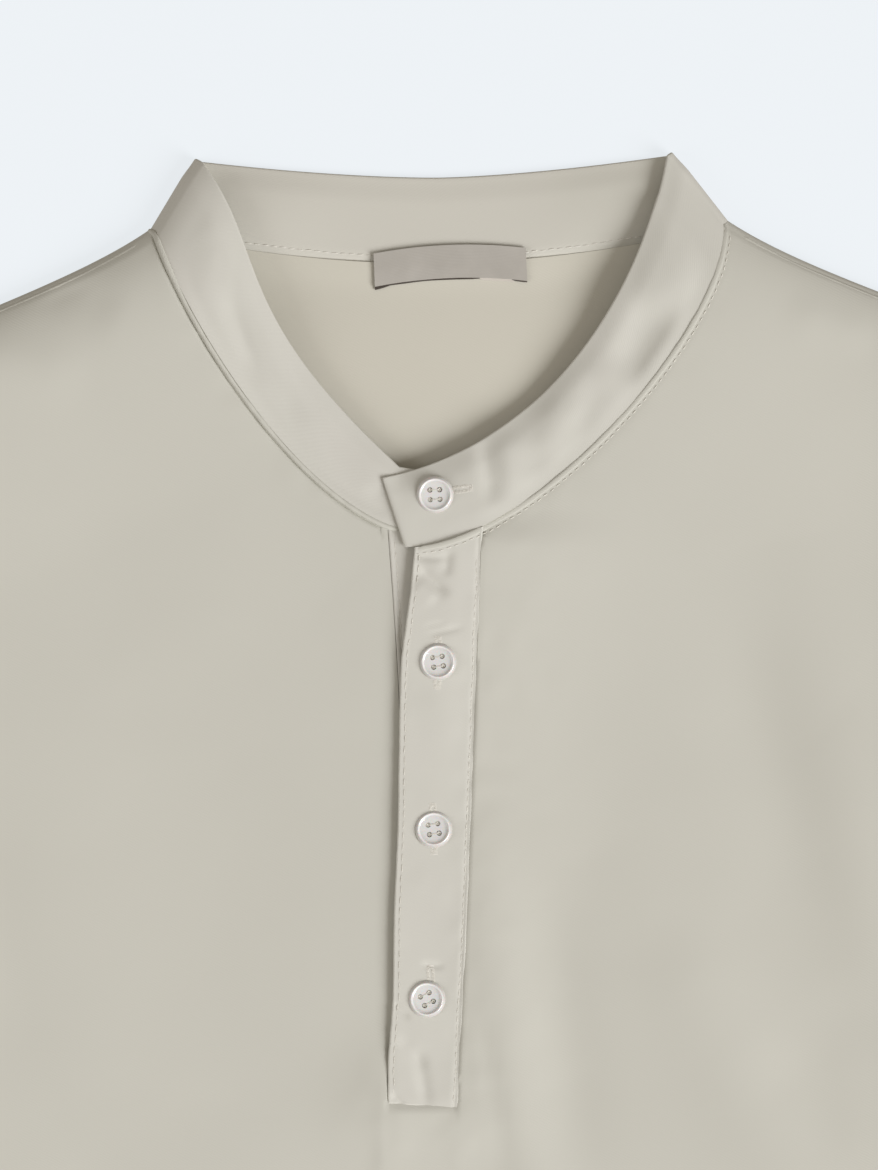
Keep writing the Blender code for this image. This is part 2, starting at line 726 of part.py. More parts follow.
def collar_fold(side):
    """The stations round the fold at one side, from its top on the front to its foot behind."""
    stations = []
    for k in range(COLLAR_FOLD_STEPS + 1):
        angle = math.pi * k / COLLAR_FOLD_STEPS
        seam = roll_point(collar_roll(side, 0.0, NECK_RADIUS), angle).place
        top = roll_point(collar_roll(side, 1.0, COLLAR_CORNER_RADIUS), angle).place
        stations.append((seam, top))
    return stations


def collar_grid(stations, depth):
    """The collar's grid, moved inwards by depth from its outer layer."""
    grid = {}
    last = len(stations) - 1
    for column in range(last + 1):
        before = stations[max(column - 1, 0)]
        after = stations[min(column + 1, last)]
        seam, top = stations[column]
        for row in range(COLLAR_ROWS + 1):
            rise = row / COLLAR_ROWS
            along = lerp(after[0], after[1], rise) - lerp(before[0], before[1], rise)
            normal = (top - seam).cross(along).normalized()
            grid[(row, column)] = SurfacePoint(lerp(seam, top, rise) - normal * depth, normal)
    return grid


def placket_over():
    """The strip with the buttonholes, from under the collar down to its square foot."""
    grid = {}
    for column in range(PLACKET_COLUMNS + 1):
        share = column / PLACKET_COLUMNS
        foot = lerp(PLACKET_EDGE_RIGHT[3], PLACKET_EDGE_LEFT[3], share)
        top_x = lerp(PLACKET_EDGE_RIGHT[0].x, PLACKET_EDGE_LEFT[0].x, share)
        top_y = collar_seam(LEFT, share_at_x(LEFT, top_x)).y - PLACKET_TOP_EASE
        for row in range(PLACKET_ROWS + 1):
            y = lerp(foot.y, top_y, row / PLACKET_ROWS)
            free, sewn = placket_edges(y)
            grid[(row, column)] = surface_point(placket_height, lerp(free, sewn, share), y)
    return cloth_piece("placket_over", grid, CLOTH_MATERIAL)


def placket_under():
    """The strip that carries the buttons, in the slit, sewn to the wearer's right side."""
    grid = {}
    top_y = COLLAR_SEAM[RIGHT][2].y - PLACKET_TOP_EASE
    foot_y = SLIT[RIGHT][3].y + 2 * SEAM_GAP
    for row in range(SLIT_ROWS + 1):
        y = lerp(foot_y, top_y, row / SLIT_ROWS)
        start = x_at_level(SLIT[RIGHT], y) + SEAM_GAP
        end = x_at_level(SLIT[LEFT], y) - 2 * SEAM_GAP
        for column in range(PLACKET_UNDER_COLUMNS + 1):
            x = lerp(start, end, column / PLACKET_UNDER_COLUMNS)
            grid[(row, column)] = surface_point(front_height, x, y)
    return cloth_piece("placket_under", grid, CLOTH_MATERIAL)


def button(place, foot):
    """One turned button with four holes, standing on the given height."""
    mesh = bmesh.new()
    turn = [2 * math.pi * k / BUTTON_SIDES for k in range(BUTTON_SIDES)]
    rings = []
    for share, height in BUTTON_PROFILE:
        reach = BUTTON_RADIUS * share
        corners = [Vector((reach * math.cos(a), reach * math.sin(a), height)) for a in turn]
        rings.append([mesh.verts.new(corner * MM) for corner in corners])
    for low, high in zip(rings, rings[1:]):
        for k in range(BUTTON_SIDES):
            following = (k + 1) % BUTTON_SIDES
            mesh.faces.new([low[k], low[following], high[following], high[k]])
    mesh.faces.new(rings[0])
    mesh.faces.new(rings[-1])
    bmesh.ops.recalc_face_normals(mesh, faces=mesh.faces)
    piece = finish_object(place.name, mesh, BUTTON_MATERIAL)
    piece.location = Vector((place.x, place.y, foot)) * MM
    piece.rotation_euler.z = math.radians(place.turn)
    cutter = button_holes(place.name + "_holes")
    cutter.parent = piece
    cut = piece.modifiers.new("holes", "BOOLEAN")
    cut.operation = "DIFFERENCE"
    cut.solver = "EXACT"
    cut.object = cutter
    return piece


def button_holes(name):
    """The four prisms that cut a button's holes, each longer than the button is thick."""
    mesh = bmesh.new()
    for k in range(4):
        corner = math.radians(45 + 90 * k)
        centre = Vector((math.cos(corner), math.sin(corner), 0.0)) * BUTTON_HOLE_OFFSET
        prism = bmesh.ops.create_cone(mesh, cap_ends=True, segments=BUTTON_HOLE_SIDES,
                                      radius1=BUTTON_HOLE_RADIUS * MM,
                                      radius2=BUTTON_HOLE_RADIUS * MM,
                                      depth=BUTTON_RADIUS * MM)
        bmesh.ops.translate(mesh, verts=prism["verts"], vec=centre * MM)
    cutter = finish_object(name, mesh, BUTTON_MATERIAL)
    cutter.hide_render = True
    cutter.display_type = "WIRE"
    return cutter


def button_foot(place, collar):
    """The height of a button's foot: a gap above the highest cloth that it covers."""
    if place.name == "button_band":
        centre = Vector((place.x, place.y))
        heights = [point.place.z for point in collar.values()
                   if (point.place.xy - centre).length < 2 * BUTTON_RADIUS]
    else:
        reach = BUTTON_PROFILE[0][0] * BUTTON_RADIUS
        heights = [placket_height(place.x + reach * math.cos(angle), place.y + reach * math.sin(angle))
                   for angle in (math.pi * k / 4 for k in range(8))]
    return max(heights) + CLOTH / 2 + SEAM_GAP


def neck_label():
    """The folded strip, on the inner collar above and with a slight belly below."""
    foot = BACK_LEVEL + LAYER + CLOTH / 2 + SEAM_GAP
    along = Vector((math.cos(LABEL_TURN), math.sin(LABEL_TURN)))
    half = along * LABEL_SIZE.x / 2
    grid = {}
    for row in range(LABEL_ROWS + 1):
        up = row / LABEL_ROWS - 0.5
        for column in range(LABEL_COLUMNS + 1):
            share = column / LABEL_COLUMNS
            place = bowed(LABEL_CENTRE - half, LABEL_CENTRE + half, share, LABEL_BOW)
            place += across(along) * LABEL_SIZE.y * up
            belly = LABEL_BELLY * math.sin(math.pi * share) * (0.5 - up)
            height = foot + LABEL_WALL / 2 + belly
            grid[(row, column)] = SurfacePoint(Vector((place.x, place.y, height)), Vector((0.0, 0.0, 1.0)))
    return cloth_piece("neck_label", grid, LABEL_MATERIAL, wall=LABEL_WALL)


for old in list(bpy.data.objects):
    bpy.data.objects.remove(old)

GARMENT = bpy.data.objects.new("garment", None)
bpy.context.collection.objects.link(GARMENT)
GARMENT.location.y = ORIGIN_Y * MM

CLOTH_MATERIAL = make_material("stone_cotton", (0.57, 0.55, 0.48), 0.85)
BUTTON_MATERIAL = make_material("pearl_resin", (0.66, 0.63, 0.58), 0.3)
LABEL_MATERIAL = make_material("taupe_satin", (0.36, 0.32, 0.27), 0.45)

body_back()
body_front()
sleeve("sleeve_left", LEFT)
sleeve("sleeve_right", RIGHT)
COLLAR = collar_stations()
outer_collar = collar_grid(COLLAR, 0.0)
cloth_piece("band_outer", outer_collar, CLOTH_MATERIAL)
cloth_piece("band_inner", collar_grid(COLLAR, LAYER), CLOTH_MATERIAL)
placket_under()
placket_over()
for entry in BUTTONS:
    button(entry, button_foot(entry, outer_collar))
neck_label()
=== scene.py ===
import math
from collections import namedtuple

import bmesh
import bpy
import numpy as np
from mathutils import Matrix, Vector
from mathutils.bvhtree import BVHTree


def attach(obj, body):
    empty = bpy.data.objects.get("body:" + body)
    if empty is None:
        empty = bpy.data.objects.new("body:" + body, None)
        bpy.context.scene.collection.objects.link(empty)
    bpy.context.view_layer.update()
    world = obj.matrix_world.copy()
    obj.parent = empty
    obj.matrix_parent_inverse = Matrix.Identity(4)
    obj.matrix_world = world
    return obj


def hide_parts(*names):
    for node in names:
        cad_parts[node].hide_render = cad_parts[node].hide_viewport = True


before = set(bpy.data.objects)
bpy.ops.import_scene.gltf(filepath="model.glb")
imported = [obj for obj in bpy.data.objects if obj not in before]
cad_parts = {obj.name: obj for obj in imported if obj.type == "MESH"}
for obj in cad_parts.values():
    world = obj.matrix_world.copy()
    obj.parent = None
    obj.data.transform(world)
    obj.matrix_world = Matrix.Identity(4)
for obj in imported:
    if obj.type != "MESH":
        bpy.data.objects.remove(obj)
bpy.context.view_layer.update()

MM = 0.001
RIGHT, LEFT = -1, 1
UP = np.array((0.0, 0.0, 1.0))


def spot(x, y):
    """A plan point or direction."""
    return np.array((x, y), float)


# ---------------------------------------------------------------- named sizes, as the solids have them

CLOTH = 1.0                     # how thick the cloth is
LAYER = 1.3                     # from one layer's middle to the next one's
BACK_LEVEL = 0.5
MEET = 0.05                     # half of the gap that is left where two edges are sewn together

BODY_LENGTH = 710.0
HEM_HALF = 262.0
HEM_RISE = 5.0
UNDERARM = spot(265.0, -268.0)
NECK_POINT = spot(89.0, 2.3)
SHOULDER_TIP_X = 228.0
SHOULDER_SLOPE = 0.385
SHOULDER_DIP, SHOULDER_DIP_RUN = 5.0, 17.0
BACK_NECK_DROP, BACK_NECK_POWER = 9.5, 1.9
ARMHOLE_LEAD_TOP, ARMHOLE_LEAD_UNDER = 50.0, 70.0
ARMHOLE_OUT_UNDER = spot(0.59, -0.81) / math.hypot(0.59, 0.81)
ARMHOLE_PULL = 4
ARMHOLE_BLEND = 0.06            # the share of the armhole over which its line meets each fold's middle
SLEEVE_HEM_TOP, SLEEVE_HEM_UNDER = spot(418.8, -178.2), spot(324.5, -329.2)
SLEEVE_TOP_BOW, SLEEVE_UNDER_BOW, SLEEVE_HEM_BOW = 5.0, -3.0, 3.0
SLEEVE_LENGTH = 190.0           # along its middle

COLLAR_CORNER = {RIGHT: spot(-75.2, 24.6), LEFT: spot(72.1, 24.6)}
COLLAR_BACK_TOP, COLLAR_BACK_POWER = 17.5, 1.6
COLLAR_CORNER_RADIUS = 2.0
COLLAR_LIFT, COLLAR_CENTRE_LIFT = {RIGHT: -0.2, LEFT: 0.2}, -0.4
COLLAR_SEAM = {
    RIGHT: (spot(-75.3, -33.6), spot(-42.3, -82.0), spot(-14.4, -90.9)),
    LEFT: (spot(89.2, -29.6), spot(25.5, -99.0), spot(-12.0, -96.9)),
}
COLLAR_TOP = {
    RIGHT: (spot(-52.1, -3.5), spot(-67.3, -21.6), spot(-13.5, -71.6)),
    LEFT: (spot(64.8, -4.8), spot(42.2, -63.8), spot(-18.9, -74.9)),
}
UNDER_END = (spot(9.0, -91.4), spot(5.0, -75.0))
OVER_RAMP = (30.0, 10.0)

PLUMP = ((2.6, 12.0), (0.8, 4.0))       # heights, and the reaches that they are gained over
PLUMP_END = (8.0, 84.0)
PLUMP_LEAN = spot(-0.933, 0.359)        # the left shoulder line's way on over the collar

SLIT = {
    RIGHT: (spot(-17.2, -91.4), spot(-15.0, -125.0), spot(-11.0, -190.0), spot(-16.0, -261.0)),
    LEFT: (spot(8.1, -92.3), spot(5.1, -150.4), spot(2.1, -212.4), spot(-1.1, -261.0)),
}
PLACKET_EDGE_RIGHT = (spot(-9.5, -97.3), spot(-16.4, -172.3), spot(-13.5, -125.3), spot(-19.6, -267.9))
PLACKET_EDGE_LEFT = (spot(12.1, -91.0), spot(9.1, -150.4), spot(5.9, -212.4), spot(2.1, -269.8))
PLACKET_LENGTH = 176.0
PLACKET_EASE, PLACKET_LIFT, PLACKET_LIFT_RUN = 0.25, 0.3, 40.0
PLACKET_LAP_SHARE = 0.7
PLACKET_TILT = 0.6              # how much higher the free edge lies than its solid's, all the way up
PLACKET_TOP_TILT, TOP_TILT_START, TOP_TILT_RUN = 0.6, -142.0, 28.0      # and again near the top
FOOT_SLOPE = 0.085              # how much the foot falls on its way across to the sewn edge
SEWN_BANK = 1.75                # how much the front is raised beside the placket's sewn edge
SEWN_BANK_REACH, FOOT_BANK_REACH = 26.0, 16.0
# How far the placket's free edge strays to its right: levels and distances.
FREE_EDGE_STRAYS = ((-268.0, -255.0, -236.0, -210.0, -184.0, -157.0, -131.0, -111.0, -98.0),
                    (0.0, -0.3, 0.7, 0.3, 0.75, 0.3, -0.9, 0.3, 0.5))

EDGE_HEIGHT = 2.5
LOFT, LOFT_RUN = 3.6, 14.0
FOLD_RUN, CREASE_RUN = 26.0, 7.0        # how far in from an edge folds and creases fade out
NECK_RISE, NECK_REACH, NECK_FOLD_SHARE = 2.0, 46.0, 0.5
LAP_REACH, LAP_CENTRE = 60.0, spot(8.0, -92.0)

HEM_DEPTH, HEM_ROWS = 22.0, (19.0, 13.0)

# The grooves that seams press into the cloth beside them.
Groove = namedtuple("Groove", "out width depth")
ARMHOLE_GROOVE = Groove(out=0.0, width=1.1, depth=0.42)
NECK_GROOVE = {RIGHT: Groove(out=1.8, width=0.45, depth=0.65),
               LEFT: Groove(out=2.1, width=0.8, depth=0.08)}
HEM_GROOVES = [Groove(out=row, width=1.0, depth=0.16) for row in HEM_ROWS]
SEWN_GROOVE = Groove(out=1.2, width=0.7, depth=0.2)
FREE_GROOVE = Groove(out=1.6, width=0.6, depth=0.05)
UNDER_GROOVE = Groove(out=1.6, width=0.5, depth=0.25)

BUTTON_RADIUS = 5.7
LABEL_SIZE = spot(47.0, 10.2)
LABEL_CENTRE = spot(3.2, -10.9)
LABEL_BOW = 1.8
LABEL_TURN = math.radians(1.4)
LABEL_LEVEL = BACK_LEVEL + LAYER + CLOTH / 2 + 0.65      # just above the band behind the neck

SIDE_LEVELS = (-710.0, -695.0, -620.0, -530.0, -440.0, -360.0, -305.0)
SOLIDS_TOP = 23.4
ORIGIN_Y = (BODY_LENGTH - SOLIDS_TOP) / 2

# Soft folds that the solids have too: ridges, round across and fading out to both ends.
Fold = namedtuple("Fold", "x0 y0 x1 y1 half_width height")
SOFT_FOLDS = (
    Fold(x0=9.0, y0=-176.0, x1=33.0, y1=-350.0, half_width=11.0, height=1.7),
    Fold(x0=106.0, y0=-96.0, x1=150.0, y1=-290.0, half_width=15.0, height=1.5),
    Fold(x0=48.0, y0=-190.0, x1=124.0, y1=-330.0, half_width=15.0, height=1.5),
    Fold(x0=120.0, y0=-150.0, x1=236.0, y1=-262.0, half_width=16.0, height=1.6),
    Fold(x0=96.0, y0=-300.0, x1=188.0, y1=-520.0, half_width=24.0, height=1.9),
    Fold(x0=-60.0, y0=-270.0, x1=-110.0, y1=-470.0, half_width=26.0, height=1.4),
    Fold(x0=-150.0, y0=-190.0, x1=-240.0, y1=-275.0, half_width=18.0, height=1.5),
    Fold(x0=-20.0, y0=-420.0, x1=36.0, y1=-660.0, half_width=28.0, height=1.6),
    Fold(x0=-170.0, y0=-500.0, x1=-214.0, y1=-680.0, half_width=20.0, height=1.5),
    Fold(x0=150.0, y0=-560.0, x1=222.0, y1=-690.0, half_width=22.0, height=1.3),
    Fold(x0=252.0, y0=-225.0, x1=370.0, y1=-250.0, half_width=17.0, height=2.0),
    Fold(x0=262.0, y0=-120.0, x1=352.0, y1=-190.0, half_width=19.0, height=1.5),
    Fold(x0=-250.0, y0=-232.0, x1=-352.0, y1=-268.0, half_width=18.0, height=1.9),
    Fold(x0=-268.0, y0=-130.0, x1=-378.0, y1=-205.0, half_width=17.0, height=1.6),
)

# Creases that only the cloth has. Each runs from its first point to its second, with a reach of
# its own to the left and to the right of that way, and is a ridge, or a trough if below zero.
Crease = namedtuple("Crease", "x0 y0 x1 y1 left right height")
CREASE_END = 0.35               # the share of its length over which a crease fades in, and out
BODY_CREASES = (
    # x0, y0, x1, y1, left, right, height
    (-20.3, -262.0, -21.5, -300.0, 9.0, 3.0, 0.5),
    (4.6, -268.0, 2.2, -298.0, 8.0, 5.0, 0.3),
    (9.0, -236.0, 17.0, -296.0, 3.5, 2.5, -0.5),
    (-126.0, -12.0, -96.0, -24.0, 6.0, 9.0, -0.7),
    (-150.0, -34.0, -106.0, -44.0, 8.0, 10.0, 0.6),
    (-160.0, -150.0, -128.0, -270.0, 16.0, 22.0, -1.0),
    (104.0, -24.0, 136.0, -36.0, 6.0, 7.0, 0.5),
    (84.0, -110.0, 118.0, -236.0, 13.0, 15.0, -0.9),
    (28.0, -190.0, 38.0, -300.0, 11.0, 15.0, -1.3),
    (64.0, -213.0, 105.0, -266.0, 11.0, 12.0, 0.6),
    (122.0, -240.0, 127.0, -300.0, 14.0, 9.0, 0.5),
    (-70.0, -560.0, -120.0, -690.0, 12.0, 9.0, 0.8),
    (60.0, -430.0, 110.0, -600.0, 10.0, 14.0, 0.7),
)
BAND_CREASES = (
    # x0, y0, x1, y1, left, right, height
    (-67.0, -14.0, -55.0, -48.0, 2.8, 3.4, -0.7),
    (-60.0, -34.0, -40.0, -60.0, 3.0, 3.6, -0.5),
    (-78.0, 18.0, -70.0, -4.0, 5.0, 4.0, 0.5),
    (-84.0, 4.0, -74.0, -4.0, 3.0, 3.0, 0.5),
    (82.0, 6.0, 70.0, -26.0, 5.0, 5.0, 0.5),
    (69.0, -20.0, 52.5, -48.0, 7.5, 8.0, -1.8),
    (78.0, -22.0, 62.0, -50.0, 3.0, 4.0, 0.5),
    (50.0, -44.0, 40.0, -64.0, 4.0, 4.0, -0.4),
    (38.0, -50.0, 30.0, -72.0, 5.0, 5.0, 0.6),
    (12.0, -60.0, 15.5, -86.0, 3.6, 2.6, -1.2),
    (19.0, -60.0, 22.5, -82.0, 7.0, 3.0, 0.6),
    (-22.0, -76.0, -18.0, -90.0, 3.0, 4.0, -0.4),
)
PLACKET_CREASES = (
    # x0, y0, x1, y1, left, right, height
    (-11.0, -100.0, 1.8, -100.6, 0.9, 1.1, -0.5),
    (1.6, -97.0, 0.4, -107.0, 1.6, 2.0, -0.6),
    (-9.6, -101.6, 2.2, -112.6, 1.5, 2.4, -1.0),
    (-9.0, -107.0, -2.0, -114.0, 1.6, 3.0, 0.45),
    (-6.6, -124.0, 6.6, -121.6, 0.8, 1.0, -0.35),
    (-7.0, -121.4, 1.0, -120.4, 0.7, 0.9, -0.2),
    (-9.4, -225.2, -1.0, -226.0, 0.8, 0.9, -0.5),
    (-18.0, -236.6, -11.8, -242.2, 0.7, 1.0, -0.5),
    (-17.5, -246.5, -7.0, -257.5, 2.2, 2.2, -0.5),
    (-10.3, -249.0, -7.0, -272.0, 2.2, 2.0, -0.6),
    (-18.6, -264.2, -14.0, -269.4, 1.0, 1.2, -0.5),
    (-8.0, -140.0, 6.0, -158.0, 4.0, 5.0, 0.25),
    (-12.0, -196.0, 2.0, -206.0, 4.0, 4.0, 0.2),
)


# ---------------------------------------------------------------- plan curves

def lerp(a, b, share):
    """From a at 0 to b at 1."""
    return a + (b - a) * share


def smooth(share):
    """0 up to 0, 1 from 1 on, and an even S between."""
    share = np.clip(share, 0.0, 1.0)
    return share * share * (3 - 2 * share)


def bell(distance, width):
    """1 at no distance, fading round to almost nothing at twice the width."""
    return np.exp(-(distance / width) ** 2)


def bezier(points, share):
    """Points on a cubic curve between two ends, with two leads."""
    t = np.asarray(share, float)[..., None]
    p0, p1, p2, p3 = points
    s = 1 - t
    return p0 * s ** 3 + p1 * (3 * s * s * t) + p2 * (3 * s * t * t) + p3 * t ** 3


def unit(vector):
    """Vectors made one unit long."""
    return vector / np.linalg.norm(vector, axis=-1, keepdims=True)


def across(vector):
    """The direction a quarter turn anticlockwise from plan vectors, one unit long."""
    return unit(np.stack((-vector[..., 1], vector[..., 0]), axis=-1))


def share_where(falling, target):
    """The shares at which a falling function reaches the target values, found by halving."""
    low = np.zeros_like(np.asarray(target, float))
    high = np.ones_like(low)
    for _ in range(24):
        middle = (low + high) / 2
        above = falling(middle) > target
        low, high = np.where(above, middle, low), np.where(above, high, middle)
    return low


def x_at_level(curve, y):
    """The x at which a curve that runs down the shirt passes each level."""
    return bezier(curve, share_where(lambda share: bezier(curve, share)[..., 1], y))[..., 0]


def with_heights(plan, height):
    """Plan points with their heights as a third number."""
    return np.concatenate((plan, np.asarray(height)[..., None]), axis=-1)


def reach_along(path):
    """How far each point of a path lies from its start, along it."""
    return np.concatenate(([0.0], np.cumsum(np.linalg.norm(np.diff(path, axis=0), axis=1))))


def mirrored(point, side):
    """Points of the left side, on either side."""
    return np.asarray(point) * spot(side, 1.0)


def bowed(start, end, share, bow):
    """Points on a shallow arch between two points, bowed to the left of the way from one."""
    share = np.asarray(share, float)[..., None]
    return lerp(start, end, share) + across(end - start) * (bow * 4 * share * (1 - share))


def shoulder_edge(share):
    """The shoulder line, from the neck point out to the shoulder tip, on the left side."""
    run = np.asarray(share, float) * (SHOULDER_TIP_X - NECK_POINT[0])
    dip = SHOULDER_DIP * (1 - np.exp(-run / SHOULDER_DIP_RUN))
    return np.stack((NECK_POINT[0] + run, NECK_POINT[1] - SHOULDER_SLOPE * run - dip), axis=-1)


def sleeve_top_edge(share):
    """The left sleeve's upper fold, from the shoulder tip to its hem."""
    return bowed(shoulder_edge(1.0), SLEEVE_HEM_TOP, share, SLEEVE_TOP_BOW)


def sleeve_under_edge(share):
    """The left sleeve's lower fold, from the underarm to its hem."""
    return bowed(UNDERARM, SLEEVE_HEM_UNDER, share, SLEEVE_UNDER_BOW)


def edge_direction(edge, share):
    """Which way an edge runs at shares of its length."""
    step = 0.01
    low = np.clip(share, 0.0, 1.0 - 2 * step)
    return unit(edge(low + 2 * step) - edge(low))


TIP_OUT = unit(across(edge_direction(shoulder_edge, 1.0)) + across(edge_direction(sleeve_top_edge, 0.0)))
ARMHOLE = (shoulder_edge(1.0), shoulder_edge(1.0) - TIP_OUT * ARMHOLE_LEAD_TOP,
           UNDERARM - ARMHOLE_OUT_UNDER * ARMHOLE_LEAD_UNDER, UNDERARM)


def armhole_edge(share):
    """The left armhole seam, from the shoulder tip to the underarm."""
    return bezier(ARMHOLE, share)


# ---------------------------------------------------------------- heights of the cloth's middle

def polyline_distance(corners, x, y):
    """The distances in plan from points to a chain of straight runs."""
    nearest = np.full(np.shape(x), 1e9)
    for start, end in zip(corners[:-1], corners[1:]):
        run = end - start
        share = np.clip(((x - start[0]) * run[0] + (y - start[1]) * run[1]) / (run @ run), 0.0, 1.0)
        reach = (x - start[0] - share * run[0]) ** 2 + (y - start[1] - share * run[1]) ** 2
        nearest = np.minimum(nearest, reach)
    return np.sqrt(nearest)


CHAIN = np.linspace(0.0, 1.0, 25)
UPPER_EDGE = np.concatenate((shoulder_edge(CHAIN), sleeve_top_edge(CHAIN[1:])))
LOWER_EDGE = np.concatenate(([spot(HEM_HALF, -BODY_LENGTH), UNDERARM], sleeve_under_edge(CHAIN[1:])))
ARMHOLE_CHAIN = armhole_edge(CHAIN)
RIGHT_OUTLINE = np.concatenate((COLLAR_CORNER[RIGHT][None], mirrored(UPPER_EDGE, RIGHT)))
LEFT_OUTLINE = np.concatenate(((NECK_POINT + PLUMP_LEAN * 120.0)[None], UPPER_EDGE))
SLEEVE_HEM_CHAIN = bowed(SLEEVE_HEM_TOP, SLEEVE_HEM_UNDER, CHAIN, SLEEVE_HEM_BOW)
NECK_CHAIN = np.concatenate((
    bezier((mirrored(NECK_POINT, RIGHT),) + COLLAR_SEAM[RIGHT], CHAIN),
    bezier((NECK_POINT,) + COLLAR_SEAM[LEFT], CHAIN[::-1]),
))


def along_and_aside(line, x, y):
    """Where points lie along a fold or crease, from 0 to 1, and how far to the left of it."""
    start = spot(line.x0, line.y0)
    run = spot(line.x1, line.y1) - start
    aside = across(run)
    share = ((x - start[0]) * run[0] + (y - start[1]) * run[1]) / (run @ run)
    return share, (x - start[0]) * aside[0] + (y - start[1]) * aside[1]


def fold_heights(x, y):
    """How much the soft folds raise the cloth."""
    total = np.zeros(np.shape(x))
    for fold in SOFT_FOLDS:
        share, aside = along_and_aside(fold, x, y)
        share = np.clip(share, 0.0, 1.0)
        total += fold.height * bell(aside, fold.half_width) * 4 * share * (1 - share)
    return total


def crease_heights(creases, x, y):
    """How much a table of creases raises or lowers the cloth."""
    total = np.zeros(np.shape(x))
    for crease in (Crease(*row) for row in creases):
        share, aside = along_and_aside(crease, x, y)
        reach = np.where(aside > 0, crease.left, crease.right)
        ends = smooth(share / CREASE_END) * smooth((1 - share) / CREASE_END)
        total += crease.height * bell(aside, reach) * ends
    return total


def unevenness(x, y, size, seed):
    """Smooth hills and hollows from -1 to 1, about size millimetres apart."""
    count = 97
    table = np.random.default_rng(seed).uniform(-1.0, 1.0, (count, count))
    u, v = x / size, y / size
    i, j = np.floor(u).astype(int), np.floor(v).astype(int)
    across_share, up_share = smooth(u - i), smooth(v - j)
    i, j, next_i, next_j = i % count, j % count, (i + 1) % count, (j + 1) % count
    low = lerp(table[i, j], table[next_i, j], across_share)
    high = lerp(table[i, next_j], table[next_i, next_j], across_share)
    return lerp(low, high, up_share)


def pressed(groove, distance):
    """How deep a groove presses the cloth in, at distances from its seam."""
    return groove.depth * bell(distance - groove.out, groove.width)


def hem_distance(x, y):
    """How far points lie from the nearest hem: the body's, or a sleeve's."""
    body = y + BODY_LENGTH - HEM_RISE * (x / HEM_HALF) ** 2
    return np.minimum(body, polyline_distance(SLEEVE_HEM_CHAIN, np.abs(x), y))


def plump(reach):
    """How much the cloth is puffed up, at distances in from a folded outline."""
    start, end = PLUMP_END
    gained = sum(height * np.tanh(reach / run) for height, run in PLUMP)
    return gained * (1 - smooth((reach - start) / (end - start)))


def outline_reach(x, y):
    """How far points lie in from the folded outline; the left shoulder's line runs on over the band."""
    right = polyline_distance(RIGHT_OUTLINE, x, y)
    left = polyline_distance(LEFT_OUTLINE, x, y)
    over = (x - NECK_POINT[0]) * PLUMP_LEAN[1] - (y - NECK_POINT[1]) * PLUMP_LEAN[0]
    left = np.where((x < NECK_POINT[0]) & (over > 0), 0.0, left)
    return np.minimum(np.where(x < 0, right, left), polyline_distance(LOWER_EDGE, np.abs(x), y))


def edge_reach(x, y):
    """How far points lie from the folded edges of the body and the sleeves."""
    return np.minimum(polyline_distance(UPPER_EDGE, np.abs(x), y),
                      polyline_distance(LOWER_EDGE, np.abs(x), y))


def front_height(x, y, fine=False):
    """The height of the front's cloth; fine adds the creases and the seams' pull."""
    x, y = np.asarray(x, float), np.asarray(y, float)
    edge = edge_reach(x, y)
    loft = LOFT * (1 - np.exp(-edge / LOFT_RUN))
    rise = NECK_RISE * bell(polyline_distance(NECK_CHAIN, x, y), NECK_REACH)
    height = EDGE_HEIGHT + loft + rise
    fade = smooth(edge / FOLD_RUN)
    height += fold_heights(x, y) * fade * lerp(1.0, NECK_FOLD_SHARE, rise / NECK_RISE)
    if fine:
        near = smooth(edge / CREASE_RUN)
        height += plump(outline_reach(x, y))
        height += crease_heights(BODY_CREASES, x, y) * near
        height += (unevenness(x, y, 38.0, 3) * 0.3 + unevenness(x, y, 16.0, 4) * 0.05) * near
        pucker = unevenness(x, y, 6.0, 6)
        armhole = polyline_distance(ARMHOLE_CHAIN, np.abs(x), y)
        height -= (pressed(ARMHOLE_GROOVE, armhole) - 0.1 * pucker * bell(armhole, 7.0)) * near
        seam = polyline_distance(SEAM_CHAIN, x, y)
        height += 0.1 * pucker * bell(seam - 3.0, 5.0)
        height -= np.where(x < 0, pressed(NECK_GROOVE[RIGHT], seam), pressed(NECK_GROOVE[LEFT], seam))
        hem = hem_distance(x, y)
        height += 0.3 * smooth((HEM_DEPTH + 1.0 - hem) / 2.4) * near
        for groove in HEM_GROOVES:
            height -= pressed(groove, hem) * near
        height += 0.12 * pucker * bell(hem - HEM_ROWS[0], 8.0) * near
        height += sewn_bank(x, y)
    return height


def sewn_bank(x, y):
    """The front's turned-in cloth along the placket's sewn edge: a low bank, puckered by stitches."""
    level = np.clip(y, PLACKET_EDGE_LEFT[3][1], PLACKET_EDGE_LEFT[0][1])
    inside = x_at_level(PLACKET_EDGE_LEFT, level) - x
    bank = np.where(inside > 0, smooth(1 - inside / 1.1), bell(inside, SEWN_BANK_REACH))
    ends = smooth((y - level) / 24.0 + 1) * smooth((NECK_POINT[1] - 88.0 - y) / 12.0)
    foot = np.stack((PLACKET_EDGE_RIGHT[3], PLACKET_EDGE_LEFT[3]))
    reach = polyline_distance(foot, x, y)
    covered = (y > np.interp(x, foot[:, 0], foot[:, 1])) & (x > foot[0, 0]) & (x < foot[1, 0])
    under = np.where(covered, smooth(1 - reach / 1.2), bell(reach, FOOT_BANK_REACH))
    return np.maximum(bank * ends, under * 0.96) * (SEWN_BANK + 0.16 * unevenness(x, y, 5.0, 8))


